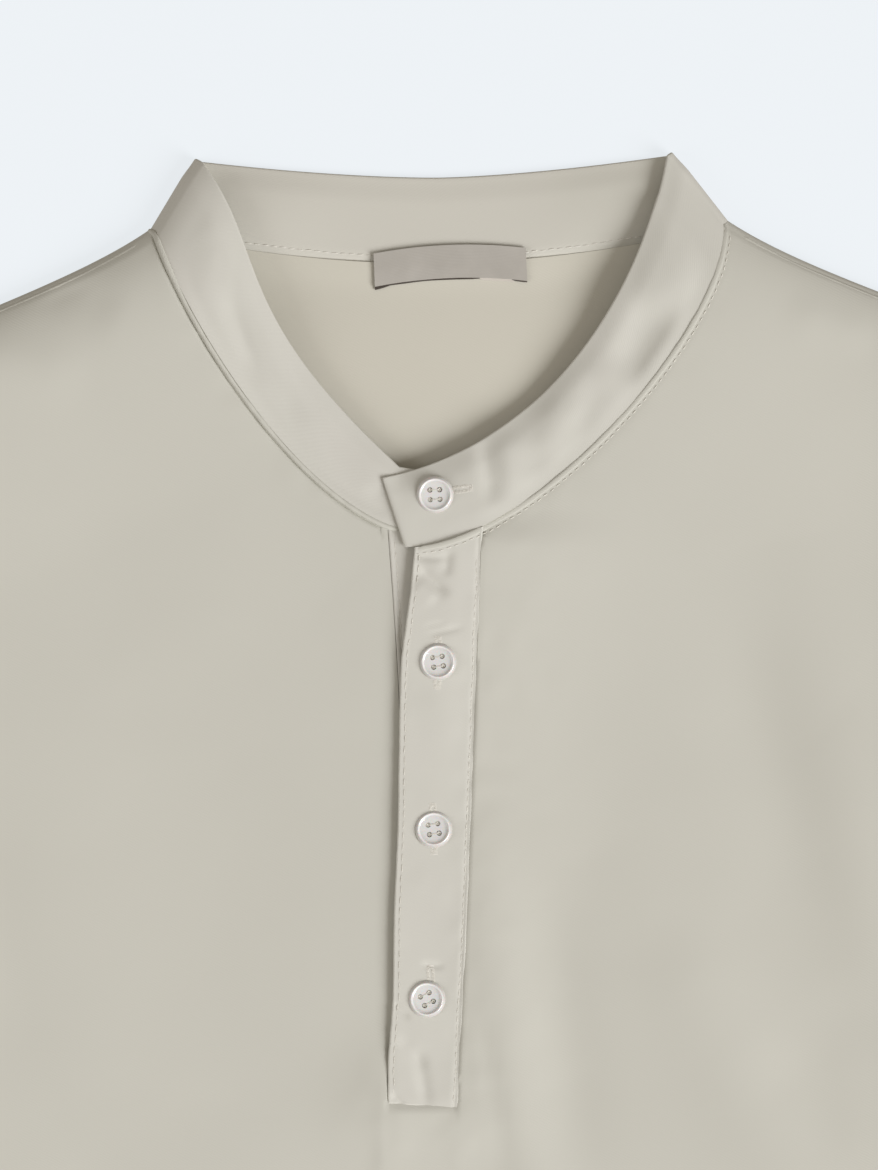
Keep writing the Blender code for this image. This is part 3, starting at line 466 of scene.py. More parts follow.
def lap_height(x, y):
    """How much the wearer's left side lies higher, where it laps over the right at the neck."""
    run = np.maximum(x - LAP_CENTRE[0], 0.0)
    return LAYER * np.exp(-(run * run + (y - LAP_CENTRE[1]) ** 2) / LAP_REACH ** 2)


def placket_height(x, y, fine=False):
    """The over placket lies a layer up, a little lifted at its free edge, flat where its foot is sewn."""
    free, sewn = x_at_level(PLACKET_EDGE_RIGHT, y), x_at_level(PLACKET_EDGE_LEFT, y)
    share = (x - free) / (sewn - free)
    foot = y - PLACKET_EDGE_RIGHT[3][1]
    lifted = smooth(foot / PLACKET_LIFT_RUN)
    lap = lap_height(sewn, y) * smooth(share / PLACKET_LAP_SHARE)
    height = front_height(x, y) + LAYER + PLACKET_EASE + PLACKET_LIFT * lifted * (1 - smooth(share)) + lap
    if fine:
        top_tilt = PLACKET_TOP_TILT * smooth((y - TOP_TILT_START) / TOP_TILT_RUN)
        height += (PLACKET_TILT * lifted + top_tilt) * (1 - share)
        height += crease_heights(PLACKET_CREASES, x, y)
        height += unevenness(x, y, 12.0, 11) * 0.14 + unevenness(x, y, 5.0, 12) * 0.03
        inside_sewn, inside_free = sewn - x, x - free
        pull = unevenness(x * 0.2, y, 3.1, 13)
        height -= pressed(SEWN_GROOVE._replace(depth=SEWN_GROOVE.depth + 0.12 * pull), inside_sewn)
        height += 0.13 * unevenness(x * 0.35, y, 5.5, 14) * bell(inside_sewn - 2.6, 2.6)
        height -= pressed(FREE_GROOVE, inside_free)
        height += 0.08 * unevenness(x * 0.35, y, 6.0, 15) * bell(inside_free - 2.0, 2.6)
        bottom = foot + (x - PLACKET_EDGE_RIGHT[3][0]) * FOOT_SLOPE
        height -= 0.15 * bell(np.maximum(bottom, 0.0), 1.6)
    return height


# ---------------------------------------------------------------- folded edges

Roll = namedtuple("Roll", "axis out radius")


def roll_at(edge, out, shift=0.0):
    """Rolls where the front turns over to the back, with their outside on the outline."""
    radius = (front_height(edge[..., 0], edge[..., 1]) - BACK_LEVEL) / 2
    return Roll(edge - out * (radius + CLOTH / 2)[..., None] + shift, out, radius)


def roll_point(roll, angle):
    """Points round rolls: 0 is the top, on the front, and a half turn is the foot."""
    plan = roll.axis + roll.out * (roll.radius * np.sin(angle))[..., None]
    height = BACK_LEVEL + roll.radius * (1 + np.cos(angle))
    inland = np.maximum(roll.radius * (1 - np.sin(angle)) + CLOTH / 2, 0.0)
    return with_heights(plan, height + plump(inland) * (1 + np.cos(angle)) / 2)


ROLL_STEPS = 5


def rolled_edge(roll, facing, step):
    """A panel's edge, one step of the way round to the meeting with the other panel."""
    turn = np.arccos(MEET / roll.radius) * step / ROLL_STEPS
    return roll_point(roll, turn if facing > 0 else math.pi - turn)


def collar_roll(side, share, radius):
    """The band's fold at the neck, at a share of the way from the neck point to its top corner."""
    start = mirrored(NECK_POINT, side)
    along = COLLAR_CORNER[side] - start
    out = across(along) * (1 if side == RIGHT else -1)
    return Roll(start + along * share - out * (radius + CLOTH / 2), out, np.float64(radius))


NECK_RADIUS = float(front_height(*NECK_POINT) - BACK_LEVEL) / 2


def neck_roll(side):
    """The roll in which the shoulder's own fold ends, just off the collar."""
    roll = collar_roll(side, 0.0, NECK_RADIUS)
    down = unit(mirrored(NECK_POINT, side) - COLLAR_CORNER[side])
    return Roll(roll.axis + down * 2 * MEET, roll.out, roll.radius)


def sleeveward(share):
    """The plan direction from the left armhole seam towards the sleeve."""
    return across(edge_direction(armhole_edge, share))


def tip_roll(side, shift):
    """The roll at the shoulder tip, shifted towards the sleeve."""
    return roll_at(mirrored(shoulder_edge(1.0), side), mirrored(TIP_OUT, side),
                   mirrored(sleeveward(0.0), side) * shift)


def underarm_roll(side, shift):
    """The roll at the underarm, shifted towards the sleeve."""
    return roll_at(mirrored(UNDERARM, side), mirrored(ARMHOLE_OUT_UNDER, side),
                   mirrored(sleeveward(1.0), side) * shift)


def armhole_points(side, shift, shares):
    """The armhole seam at shares of the way from the tip's roll down to the underarm's."""
    points = mirrored(armhole_edge(shares) + sleeveward(shares) * shift, side)
    lead_in = (1 - smooth(shares / ARMHOLE_BLEND))[..., None]
    lead_out = (1 - smooth((1 - shares) / ARMHOLE_BLEND))[..., None]
    points = points + (tip_roll(side, shift).axis - mirrored(armhole_edge(0.0), side)) * lead_in
    return points + (underarm_roll(side, shift).axis - mirrored(armhole_edge(1.0), side)) * lead_out


def stacked(rolls):
    """Single rolls as a row of them."""
    return Roll(*(np.array([getattr(roll, part) for roll in rolls]) for part in Roll._fields))


def between(rolls, place):
    """Rolls at fractional places along a row of rolls."""
    low = np.minimum(place.astype(int), len(rolls.radius) - 2)
    share = (place - low)[:, None]
    out = unit(lerp(rolls.out[low], rolls.out[low + 1], share))
    return Roll(lerp(rolls.axis[low], rolls.axis[low + 1], share), out,
                lerp(rolls.radius[low], rolls.radius[low + 1], place - low))


def shoulder_rolls(side, shares):
    """The body's top edge, out from the collar to the shoulder tip."""
    middle = shares[1:-1]
    out = across(edge_direction(shoulder_edge, middle))
    rolls = roll_at(mirrored(shoulder_edge(middle), side), mirrored(out, side))
    first, last = neck_roll(side), tip_roll(side, -MEET)
    return Roll(np.concatenate((first.axis[None], rolls.axis, last.axis[None])),
                np.concatenate((first.out[None], rolls.out, last.out[None])),
                np.concatenate(([first.radius], rolls.radius, [last.radius])))


def side_rolls(side, place):
    """The body's outer edge at fractional places along the side levels, hem to underarm."""
    count = len(SIDE_LEVELS)
    rolls = []
    for k, level in enumerate(SIDE_LEVELS):
        level += HEM_RISE * (1 - k / count)
        half = lerp(HEM_HALF, UNDERARM[0], (level + BODY_LENGTH) / (UNDERARM[1] + BODY_LENGTH))
        rolls.append(roll_at(mirrored(spot(half, level), side), spot(side, 0.0)))
    rolls.append(underarm_roll(side, -MEET))
    return between(stacked(rolls), place)


# ---------------------------------------------------------------- building a piece

EXTRA = []                      # small pieces with no solid of their own: seams, stitches, thread


def grid_cells(rows, columns, ring):
    """The corners of the cells between a grid's points; a ring's last column meets its first."""
    index = np.arange(rows * columns).reshape(rows, columns)
    if ring:
        index = np.concatenate((index, index[:, :1]), axis=1)
    return np.stack((index[:-1, :-1], index[:-1, 1:], index[1:, 1:], index[1:, :-1]), axis=-1)


CORD_SIDES = 10
STITCH_RINGS, STITCH_SIDES = 5, 6


def linked(name, data):
    """A new object in the scene."""
    made = bpy.data.objects.new(name, data)
    bpy.context.collection.objects.link(made)
    return made


def link_mesh(name, vertices, faces, material, uv=None, sharp=50):
    """Makes a piece from points in millimetres of the pattern's frame, and moves it to its place."""
    mesh = bpy.data.meshes.new(name)
    points = (np.asarray(vertices) + (0.0, ORIGIN_Y, 0.0)) * MM
    mesh.from_pydata(points.tolist(), [], [list(face) for face in faces])
    mesh.update()
    if uv is not None:
        layer = mesh.uv_layers.new(name="weave")
        corner = np.empty(len(mesh.loops), np.int32)
        mesh.loops.foreach_get("vertex_index", corner)
        layer.uv.foreach_set("vector", (np.asarray(uv)[corner] * MM).astype(np.float32).ravel())
    mesh.shade_smooth()
    mesh.set_sharp_from_angle(angle=math.radians(sharp))
    mesh.materials.append(material)
    piece = linked(name, mesh)
    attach(piece, "root")
    return piece


def shell(name, place, material, uv, wall=CLOTH, cut=None, ring=False, lining=None):
    """A closed wall of cloth round a grid of middle points; where a point isn't a number, none is.

    wall is the thickness, one value or one for each point. cut marks cells that stay open, and
    lining is (a material, the first column that has it).
    """
    rows, columns = place.shape[:2]
    cells = grid_cells(rows, columns, ring)
    column = np.broadcast_to(np.arange(cells.shape[1]), cells.shape[:2]).reshape(-1)
    quads = cells.reshape(-1, 4)
    points = place.reshape(-1, 3)
    good = ~np.isnan(points[quads]).any(axis=(1, 2))
    if cut is not None:
        good &= ~cut.reshape(-1)
    column, quads = column[good], quads[good]
    a, b, c, d = (points[quads[:, k]] for k in range(4))
    crossing = np.cross(c - a, d - b)
    normals = np.zeros_like(points)
    for k in range(4):
        np.add.at(normals, quads[:, k], crossing)
    used = np.unique(quads)
    number = np.zeros(len(points), int)
    number[used] = np.arange(len(used))
    quads = number[quads]
    half = unit(normals[used]) * (np.broadcast_to(wall, (rows, columns)).reshape(-1)[used] / 2)[:, None]
    vertices = np.concatenate((points[used] + half, points[used] - half))
    count = len(used)
    start, end = quads.ravel(), np.roll(quads, -1, axis=1).ravel()
    rim = ~np.isin(start * count + end, end * count + start)
    start, end = start[rim], end[rim]
    sides = np.stack((end, start, start + count, end + count), axis=-1)
    faces = np.concatenate((quads, quads[:, ::-1] + count, sides))
    flat = np.broadcast_to(uv, (rows, columns, 2)).reshape(-1, 2)[used]
    piece = link_mesh(name, vertices, faces, material, np.concatenate((flat, flat)))
    if lining is not None:
        piece.data.materials.append(lining[0])
        lined = np.zeros(len(faces), np.int32)
        lined[:2 * len(column)] = np.tile(column >= lining[1], 2)
        piece.data.polygons.foreach_set("material_index", lined)
    return piece


def grid_area(place):
    """The area of a grid of middle points, in square metres."""
    a, b, c, d = place[:-1, :-1], place[:-1, 1:], place[1:, 1:], place[1:, :-1]
    return float(np.nansum(np.linalg.norm(np.cross(c - a, d - b), axis=-1)) / 2 * MM * MM)


def resampled(path, step):
    """Points evenly spaced along a path, about step apart."""
    reach = reach_along(path)
    count = max(int(round(reach[-1] / step)), 1)
    wanted = np.linspace(0.0, reach[-1], count + 1)
    return np.stack([np.interp(wanted, reach, path[:, k]) for k in range(path.shape[1])], axis=-1)


def seam_cord(name, path, up, material, half_width, half_height, seed, taper=3.0):
    """A rounded ridge of turned-in cloth along a seam, a little uneven, thinning at both ends."""
    along = unit(np.gradient(path, axis=0))
    side = unit(np.cross(along, up))
    up = np.cross(side, along)
    reach = reach_along(path)
    ends = np.minimum(smooth(reach / taper), smooth((reach[-1] - reach) / taper)) * 0.9 + 0.1
    wave = 1 + 0.1 * unevenness(reach, reach * 0.0, 3.2, seed)
    rings = []
    for k in range(CORD_SIDES):
        angle = 2 * math.pi * k / CORD_SIDES
        rings.append(path + side * (half_width * math.cos(angle) * ends * wave)[:, None]
                     + up * (half_height * math.sin(angle) * ends * wave)[:, None])
    rows = len(path)
    first, last = list(range(CORD_SIDES)), list(range((rows - 1) * CORD_SIDES, rows * CORD_SIDES))
    faces = grid_cells(rows, CORD_SIDES, True).reshape(-1, 4).tolist() + [first[::-1], last]
    around = np.broadcast_to(np.arange(CORD_SIDES) * half_width * 0.6, (rows, CORD_SIDES))
    uv = np.stack((np.broadcast_to(reach[:, None], (rows, CORD_SIDES)), around), axis=-1).reshape(-1, 2)
    piece = link_mesh(name, np.stack(rings, axis=1).reshape(-1, 3), faces, material, uv)
    EXTRA.append(piece)
    return piece


def stitch_faces(count):
    """The faces of some stitches: each is a tube of rings, closed at both ends."""
    tube = grid_cells(STITCH_RINGS, STITCH_SIDES, True).reshape(-1, 4)
    last = (STITCH_RINGS - 1) * STITCH_SIDES
    caps = [(3, 2, 1, 0), (5, 4, 3, 0),
            (last, last + 1, last + 2, last + 3), (last, last + 3, last + 4, last + 5)]
    base = (np.arange(count) * STITCH_RINGS * STITCH_SIDES)[:, None, None]
    return (np.concatenate((tube, caps))[None] + base).reshape(-1, 4)


def stitches(name, path, up, material, pitch=3.1, thread=0.19, share=0.74, seed=1, sunk=0.14):
    """A row of thread stitches along a path, each a short rounded float whose ends dip."""
    rng = np.random.default_rng(seed)
    joined_path = resampled(np.concatenate((path, up), axis=1), pitch)
    points, ups = joined_path[:, :3], unit(joined_path[:, 3:])
    start, run = points[:-1], points[1:] - points[:-1]
    normal = unit(ups[:-1] + ups[1:])
    count = len(start)
    side = unit(np.cross(run, normal))
    run = run + side * rng.uniform(-0.09, 0.09, count)[:, None] * pitch
    side = unit(np.cross(run, normal))
    rings = []
    for place, width, dip in ((0.0, 0.35, 1.0), (0.14, 0.85, 0.25), (0.5, 1.05, 0.0), (0.86, 0.85, 0.25),
                              (1.0, 0.35, 1.0)):
        centre = start + run * ((1 - share) / 2 + share * place) + normal * (thread * 0.45 - sunk * dip)
        size = thread * width * rng.uniform(0.9, 1.1, count)[:, None]
        for k in range(STITCH_SIDES):
            angle = 2 * math.pi * k / STITCH_SIDES
            rings.append(centre + side * size * math.cos(angle) + normal * size * 0.8 * math.sin(angle))
    vertices = np.stack(rings, axis=1).reshape(-1, 3)
    piece = link_mesh(name, vertices, stitch_faces(count), material, sharp=80)
    EXTRA.append(piece)
    return piece


def surface_of(piece):
    """A search tree over a piece's faces, in millimetres of the pattern's frame."""
    mesh = piece.data
    places = np.empty(3 * len(mesh.vertices))
    mesh.vertices.foreach_get("co", places)
    places = places.reshape(-1, 3) / MM - (0.0, ORIGIN_Y, 0.0)
    return BVHTree.FromPolygons(places.tolist(), [tuple(face.vertices) for face in mesh.polygons])


def seated(plan, surfaces, rise=0.0):
    """Plan points set on the highest of some surfaces, and the way up from it at each."""
    points, ups = [], []
    for x, y in np.asarray(plan):
        hits = [surface.ray_cast((x, y, 60.0), (0.0, 0.0, -1.0))[:2] for surface in surfaces]
        hits = [hit for hit in hits if hit[0] is not None]
        if hits:
            place, normal = max(hits, key=lambda hit: hit[0].z)
            points.append(np.array(place + normal * rise))
            ups.append(np.array(normal))
    return np.array(points), np.array(ups)


def joined(name, pieces):
    """Joins small pieces into one, and forgets the parts."""
    target = pieces[0]
    mesh = bmesh.new()
    for piece in pieces:
        mesh.from_mesh(piece.data)
    mesh.to_mesh(target.data)
    mesh.free()
    target.name = name
    for piece in pieces[1:]:
        EXTRA.remove(piece)
        bpy.data.objects.remove(piece)
    return target


# ---------------------------------------------------------------- materials

def hex_colour(text):
    """An sRGB hex colour as linear red, green, blue and alpha."""
    parts = [int(text[k:k + 2], 16) / 255 for k in (1, 3, 5)]
    return tuple(c / 12.92 if c <= 0.04045 else ((c + 0.055) / 1.055) ** 2.4 for c in parts) + (1.0,)


def add(tree, kind, settings=None, inputs=None):
    """Adds a node with its settings; an input takes a plain value or another node's socket."""
    made = tree.nodes.new(kind)
    for key, value in (settings or {}).items():
        setattr(made, key, value)
    for key, value in (inputs or {}).items():
        if isinstance(value, bpy.types.NodeSocket):
            tree.links.new(value, made.inputs[key])
        else:
            made.inputs[key].default_value = value
    return made


def new_material(name, **values):
    """A Principled material with its constant values on the shader's own sockets."""
    material = bpy.data.materials.new(name)
    material.use_nodes = True
    shader = material.node_tree.nodes["Principled BSDF"]
    for key, value in values.items():
        shader.inputs[key.replace("_", " ")].default_value = value
    return material, material.node_tree, shader


def mottled(tree, shader, vector, scale, colours):
    """Colours the shader by a soft noise between three tones."""
    cloud = add(tree, "ShaderNodeTexNoise", {},
                {"Vector": vector, "Scale": scale, "Detail": 3.0, "Roughness": 0.55})
    ramp = add(tree, "ShaderNodeValToRGB", {}, {"Fac": cloud.outputs[0]})
    ramp.color_ramp.elements[0].position, ramp.color_ramp.elements[1].position = 0.3, 0.7
    ramp.color_ramp.elements.new(0.5)
    for element, colour in zip(ramp.color_ramp.elements, colours):
        element.color = hex_colour(colour)
    tree.links.new(ramp.outputs["Color"], shader.inputs["Base Color"])


def brushed_cotton(name, tones):
    """Brushed stretch cotton: a close twill with a dry, matt face and a short soft nap.

    The eye sees very fine slanting lines, broken by uneven yarn, and a faint light bloom at grazing
    angles. The real twill has a line each 0.35 mm, drawn here 0.75 mm apart so that it shows.
    """
    material, tree, shader = new_material(
        name, Roughness=0.9, Sheen_Weight=0.06, Sheen_Roughness=0.5, Specular_IOR_Level=0.2, IOR=1.46)
    place = add(tree, "ShaderNodeUVMap", {"uv_map": "weave"})
    mm = add(tree, "ShaderNodeVectorMath", {"operation": "SCALE"}, {0: place.outputs[0], "Scale": 1 / MM})
    mottled(tree, shader, mm.outputs[0], 0.012, tones)
    twill = add(tree, "ShaderNodeMapping", {},
                {"Vector": mm.outputs[0], "Rotation": (0, 0, math.radians(27))})
    lines = add(tree, "ShaderNodeTexWave", {"bands_direction": "Y"},
                {"Vector": twill.outputs[0], "Scale": 0.42, "Distortion": 3.0, "Detail": 3.0,
                 "Detail Scale": 1.6})
    yarn = add(tree, "ShaderNodeMapping", {}, {"Vector": twill.outputs[0], "Scale": (0.45, 2.2, 1.0)})
    slub = add(tree, "ShaderNodeTexNoise", {}, {"Vector": yarn.outputs[0], "Scale": 0.8, "Detail": 3.0})
    relief = add(tree, "ShaderNodeMath", {"operation": "MULTIPLY_ADD"},
                 {0: slub.outputs[0], 1: 1.2, 2: lines.outputs[1]})
    weave = add(tree, "ShaderNodeBump", {},
                {"Height": relief.outputs[0], "Strength": 0.15, "Distance": 0.00008})
    tree.links.new(weave.outputs[0], shader.inputs["Normal"])
    return material


def sewing_thread():
    """Spun polyester sewing thread, dyed to match: slightly lighter and smoother than the cloth."""
    material, tree, shader = new_material("spun_sewing_thread", Roughness=0.6, Sheen_Weight=0.2, IOR=1.5)
    place = add(tree, "ShaderNodeTexCoord")
    mm = add(tree, "ShaderNodeVectorMath", {"operation": "SCALE"},
             {0: place.outputs["Object"], "Scale": 1 / MM})
    mottled(tree, shader, mm.outputs[0], 0.4, ("#d5d2c7", "#dddad0", "#e4e1d9"))
    twist = add(tree, "ShaderNodeTexWave", {"bands_direction": "DIAGONAL"},
                {"Vector": mm.outputs[0], "Scale": 1.2, "Distortion": 0.6})
    bump = add(tree, "ShaderNodeBump", {},
               {"Height": twist.outputs[1], "Strength": 0.4, "Distance": 0.00008})
    tree.links.new(bump.outputs[0], shader.inputs["Normal"])
    return material


def pearl_resin():
    """Cast pearl polyester: milky and a little translucent, with soft clouds under a hard gloss.

    The colour is painted a little darker at the rim's inner foot as painted shade, and lighter on the rim
    as a painted highlight. The outer wall is darker and greyer.
    """
    material, tree, shader = new_material(
        "cast_pearl_polyester", Roughness=0.2, IOR=1.56, Coat_Weight=0.5, Coat_Roughness=0.06,
        Subsurface_Weight=0.1, Subsurface_Scale=0.001)
    place = add(tree, "ShaderNodeUVMap", {"uv_map": "turned"})
    mm = add(tree, "ShaderNodeVectorMath", {"operation": "SCALE"}, {0: place.outputs[0], "Scale": 1 / MM})
    drift = add(tree, "ShaderNodeMapping", {},
                {"Vector": mm.outputs[0], "Scale": (1.0, 0.45, 1.0), "Rotation": (0, 0, 0.6)})
    cloud = add(tree, "ShaderNodeTexNoise", {},
                {"Vector": drift.outputs[0], "Scale": 0.35, "Detail": 2.0})
    reach = add(tree, "ShaderNodeVectorMath", {"operation": "LENGTH"}, {0: mm.outputs[0]})
    drifted = add(tree, "ShaderNodeMath", {"operation": "MULTIPLY_ADD"},
                  {0: cloud.outputs[0], 1: 0.5, 2: reach.outputs[1]})
    share = add(tree, "ShaderNodeMath", {"operation": "DIVIDE"},
                {0: drifted.outputs[0], 1: BUTTON_RADIUS + 0.25})
    ramp = add(tree, "ShaderNodeValToRGB", {}, {"Fac": share.outputs[0]})
    ramp.color_ramp.elements[0].position, ramp.color_ramp.elements[1].position = 0.0, 1.0
    # Shares of the way out from the axis: the well, a painted shade at the rim's inner foot, the rim with
    # its painted highlight, then the darker outer wall.
    tones = ((0.0, "#e6e6e5"), (0.60, "#e3e3e1"), (0.74, "#dadad7"), (0.80, "#edecea"), (0.85, "#efeeec"),
             (0.90, "#d2d0cc"), (1.0, "#ccc9c4"))
    for _ in range(len(tones) - 2):
        ramp.color_ramp.elements.new(0.5)
    for element, (at, tone) in zip(ramp.color_ramp.elements, tones):
        element.position, element.color = at, hex_colour(tone)
    tree.links.new(ramp.outputs["Color"], shader.inputs["Base Color"])
    lathe = add(tree, "ShaderNodeTexWave", {"wave_type": "RINGS", "rings_direction": "Z"},
                {"Vector": mm.outputs[0], "Scale": 2.4, "Distortion": 0.4})
    bump = add(tree, "ShaderNodeBump", {},
               {"Height": lathe.outputs[1], "Strength": 0.04, "Distance": 0.00005})
    tree.links.new(bump.outputs[0], shader.inputs["Normal"])
    return material


def satin_ribbon(name, dark, middle, light):
    """Woven satin ribbon: close smooth floats across it, with a dull sideways sheen."""
    material, tree, shader = new_material(
        name, Roughness=0.42, Sheen_Weight=0.2, IOR=1.5, Anisotropic=0.5)
    place = add(tree, "ShaderNodeUVMap", {"uv_map": "weave"})
    mm = add(tree, "ShaderNodeVectorMath", {"operation": "SCALE"}, {0: place.outputs[0], "Scale": 1 / MM})
    mottled(tree, shader, mm.outputs[0], 0.12, (dark, middle, light))
    floats = add(tree, "ShaderNodeTexWave", {"bands_direction": "Y"},
                 {"Vector": mm.outputs[0], "Scale": 0.7, "Distortion": 0.5})
    bump = add(tree, "ShaderNodeBump", {},
               {"Height": floats.outputs[1], "Strength": 0.2, "Distance": 0.0001})
    tree.links.new(bump.outputs[0], shader.inputs["Normal"])
    return material


COTTON = brushed_cotton("brushed_stretch_cotton", ("#c8c7bd", "#c9c8be", "#cac9bf"))
# The band and the placket are faced with a firm interlining, so that less shows through: paler.
FACED = brushed_cotton("interlined_stretch_cotton", ("#cfcdc5", "#cfcec5", "#d0cec6"))
LINED = brushed_cotton("band_lining_cotton", ("#cccac0", "#cdcbc1", "#cdccc1"))
# The inside of the cloth, seen in the neck opening, isn't brushed. It is painted a little paler than its
# face, as painted light that lifts the shade in the opening, and warmer: partly its own tone, partly
# painted warm bounce light.
INSIDE = brushed_cotton("stretch_cotton_inside", ("#cdcabc", "#cecbbe", "#cfccbf"))
THREAD = sewing_thread()
PEARL = pearl_resin()
SATIN = satin_ribbon("taupe_satin_ribbon", "#aeaaa2", "#b1ada5", "#b5b1a9")
SATIN_TAB = satin_ribbon("pale_satin_reverse", "#ccc6bc", "#d2ccc2", "#d6d0c6")
# A dark sheet put under the label's lower edge: painted shadow, and at the corners partly the label's
# folded-under layers.
SATIN_PAINTED_SHADOW = satin_ribbon("dark_satin_reverse", "#3d352e", "#4a423a", "#575048")


# ---------------------------------------------------------------- body

# The front's rows below the underarm, as places along the side levels, close together at the hem.
LOWER = np.concatenate((
    (0.0, 0.3, 0.6, 0.75, 0.83, 0.9, 0.97, 1.02, 1.045, 1.06, 1.075, 1.09, 1.11),
    np.linspace(1.11, 5.0, 56)[1:], np.linspace(5.0, 6.0, 16)[1:], np.linspace(6.0, 7.0, 22)[1:]))
# Its rows beside the slit and along the neck, and the share of the armhole that the slit's rows take.
SLIT_ROWS, NECK_ROWS, SLIT_PART = 66, 84, 0.4
# Its columns from the centre to the edge, close together beside the slit and the neck.
COLUMNS = np.concatenate((
    (0.0, 0.0018, 0.0038, 0.006, 0.0085, 0.0112, 0.014, 0.017, 0.0205, 0.0245, 0.029, 0.034, 0.04),
    0.04 + 0.96 * np.linspace(0.0, 1.0, 75)[1:] ** 1.08))
BRIDGE = 8                      # the cells between the two halves, below the slit
BACK_ROWS, BACK_NECK_COLUMNS, BACK_SHOULDER_COLUMNS = 90, 36, 42
BACK_SWELL = 1.6                # how much the back's cloth swells up in the opening
BACK_BANK = 0.9                 # how much the back's cloth rises to meet the band behind the neck


def seam_start(side):
    """Where a front neck seam starts, at the shoulder fold."""
    return collar_roll(side, 0.0, NECK_RADIUS).axis


def collar_seam(side, share):
    """The front neck seam, from the shoulder fold down to the slit."""
    return bezier((seam_start(side),) + COLLAR_SEAM[side], share)


SEAM_CHAIN = np.concatenate((collar_seam(RIGHT, np.linspace(0.0, 1.0, 60)),
                             collar_seam(LEFT, np.linspace(1.0, 0.0, 60))))


def share_at_x(side, x):
    """The share of the way down a front neck seam at which it passes an x."""
    return share_where(lambda share: side * collar_seam(side, share)[..., 0], side * np.asarray(x, float))


def seam_outward(side, share):
    """The plan direction from the collar to the body, square to the front neck seam."""
    return across(edge_direction(lambda f: collar_seam(side, f), share)) * side


def inner_edge(side):
    """The front's edge at the centre, up from the hem, and then its edge along the collar."""
    slit = SLIT[side]
    levels = np.interp(LOWER, np.arange(len(SIDE_LEVELS) + 1), SIDE_LEVELS + (slit[3][1],))
    low = np.stack((np.full(len(levels), slit[3][0]), levels), axis=-1)
    middle = bezier(slit, 1 - np.arange(1, SLIT_ROWS) / SLIT_ROWS)
    shares = share_at_x(side, slit[0][0]) * (1 - np.arange(NECK_ROWS) / NECK_ROWS)
    high = collar_seam(side, shares) + seam_outward(side, shares) * MEET
    return np.concatenate((low, middle, high, neck_roll(side).axis[None]))


def body_rise():
    """How far up the armhole each row above the underarm ends, from 0 to 1."""
    slit = SLIT_PART * np.arange(1, SLIT_ROWS) / SLIT_ROWS
    neck = SLIT_PART + (1 - SLIT_PART) * np.arange(NECK_ROWS + 1) / NECK_ROWS
    return np.concatenate((slit, neck))


def front_half(side):
    """One half of the front as plan points, with heights: rows up from the hem, columns outwards."""
    upper = body_rise()
    inner = inner_edge(side)
    below = side_rolls(side, LOWER)
    outer = np.concatenate((below.axis, armhole_points(side, -MEET, 1 - upper)))
    top = shoulder_rolls(side, COLUMNS)
    rise = np.concatenate((np.zeros(len(LOWER)), upper))[:, None, None] ** 2
    share = COLUMNS[None, :, None]
    plan = lerp(inner[:, None], outer[:, None], share)
    plan = plan + (top.axis - lerp(inner[-1], outer[-1], COLUMNS[:, None]))[None] * rise
    bend = HEM_RISE * (COLUMNS * COLUMNS - COLUMNS)
    fade = np.maximum(1 - LOWER / len(SIDE_LEVELS), 0.0)
    plan[:len(LOWER), :, 1] += fade[:, None] * bend
    x, y = plan[..., 0], plan[..., 1]
    height = front_height(x, y, fine=True)
    if side == LEFT:
        height = height + lap_height(x, y)
    grid = with_heights(plan, height)
    grid[-1] = rolled_edge(top, 1, 0)
    edge_blend = smooth((COLUMNS - 0.97) / 0.03)[None, :]
    edge_top = (BACK_LEVEL + 2 * below.radius)[:, None]
    grid[:len(LOWER), :, 2] = lerp(grid[:len(LOWER), :, 2], edge_top, edge_blend)
    over = np.stack([rolled_edge(top, 1, step) for step in range(1, ROLL_STEPS + 1)])
    grid = np.concatenate((grid, over))
    sides = np.full((len(grid), ROLL_STEPS, 3), np.nan)
    for step in range(1, ROLL_STEPS + 1):
        sides[:len(LOWER), step - 1] = rolled_edge(below, 1, step)
    return np.concatenate((grid, sides), axis=1)


def body_front():
    """The front panel and its area: two halves, joined below the slit."""
    right, left = front_half(RIGHT), front_half(LEFT)
    steps = np.arange(1, BRIDGE) / BRIDGE
    bridge = np.full((len(left), BRIDGE - 1, 3), np.nan)
    low = len(LOWER)
    plan = lerp(right[:low, 0, None, :2], left[:low, 0, None, :2], steps[None, :, None])
    bridge[:low] = with_heights(plan, front_height(plan[..., 0], plan[..., 1], fine=True))
    grid = np.concatenate((right[:, ::-1], bridge, left), axis=1)
    cut = np.zeros((grid.shape[0] - 1, grid.shape[1] - 1), bool)
    cut[low - 1:, right.shape[1] - 1:right.shape[1] + BRIDGE - 1] = True
    return shell("tshirt_front", grid, COTTON, grid[..., :2], cut=cut), grid_area(grid)


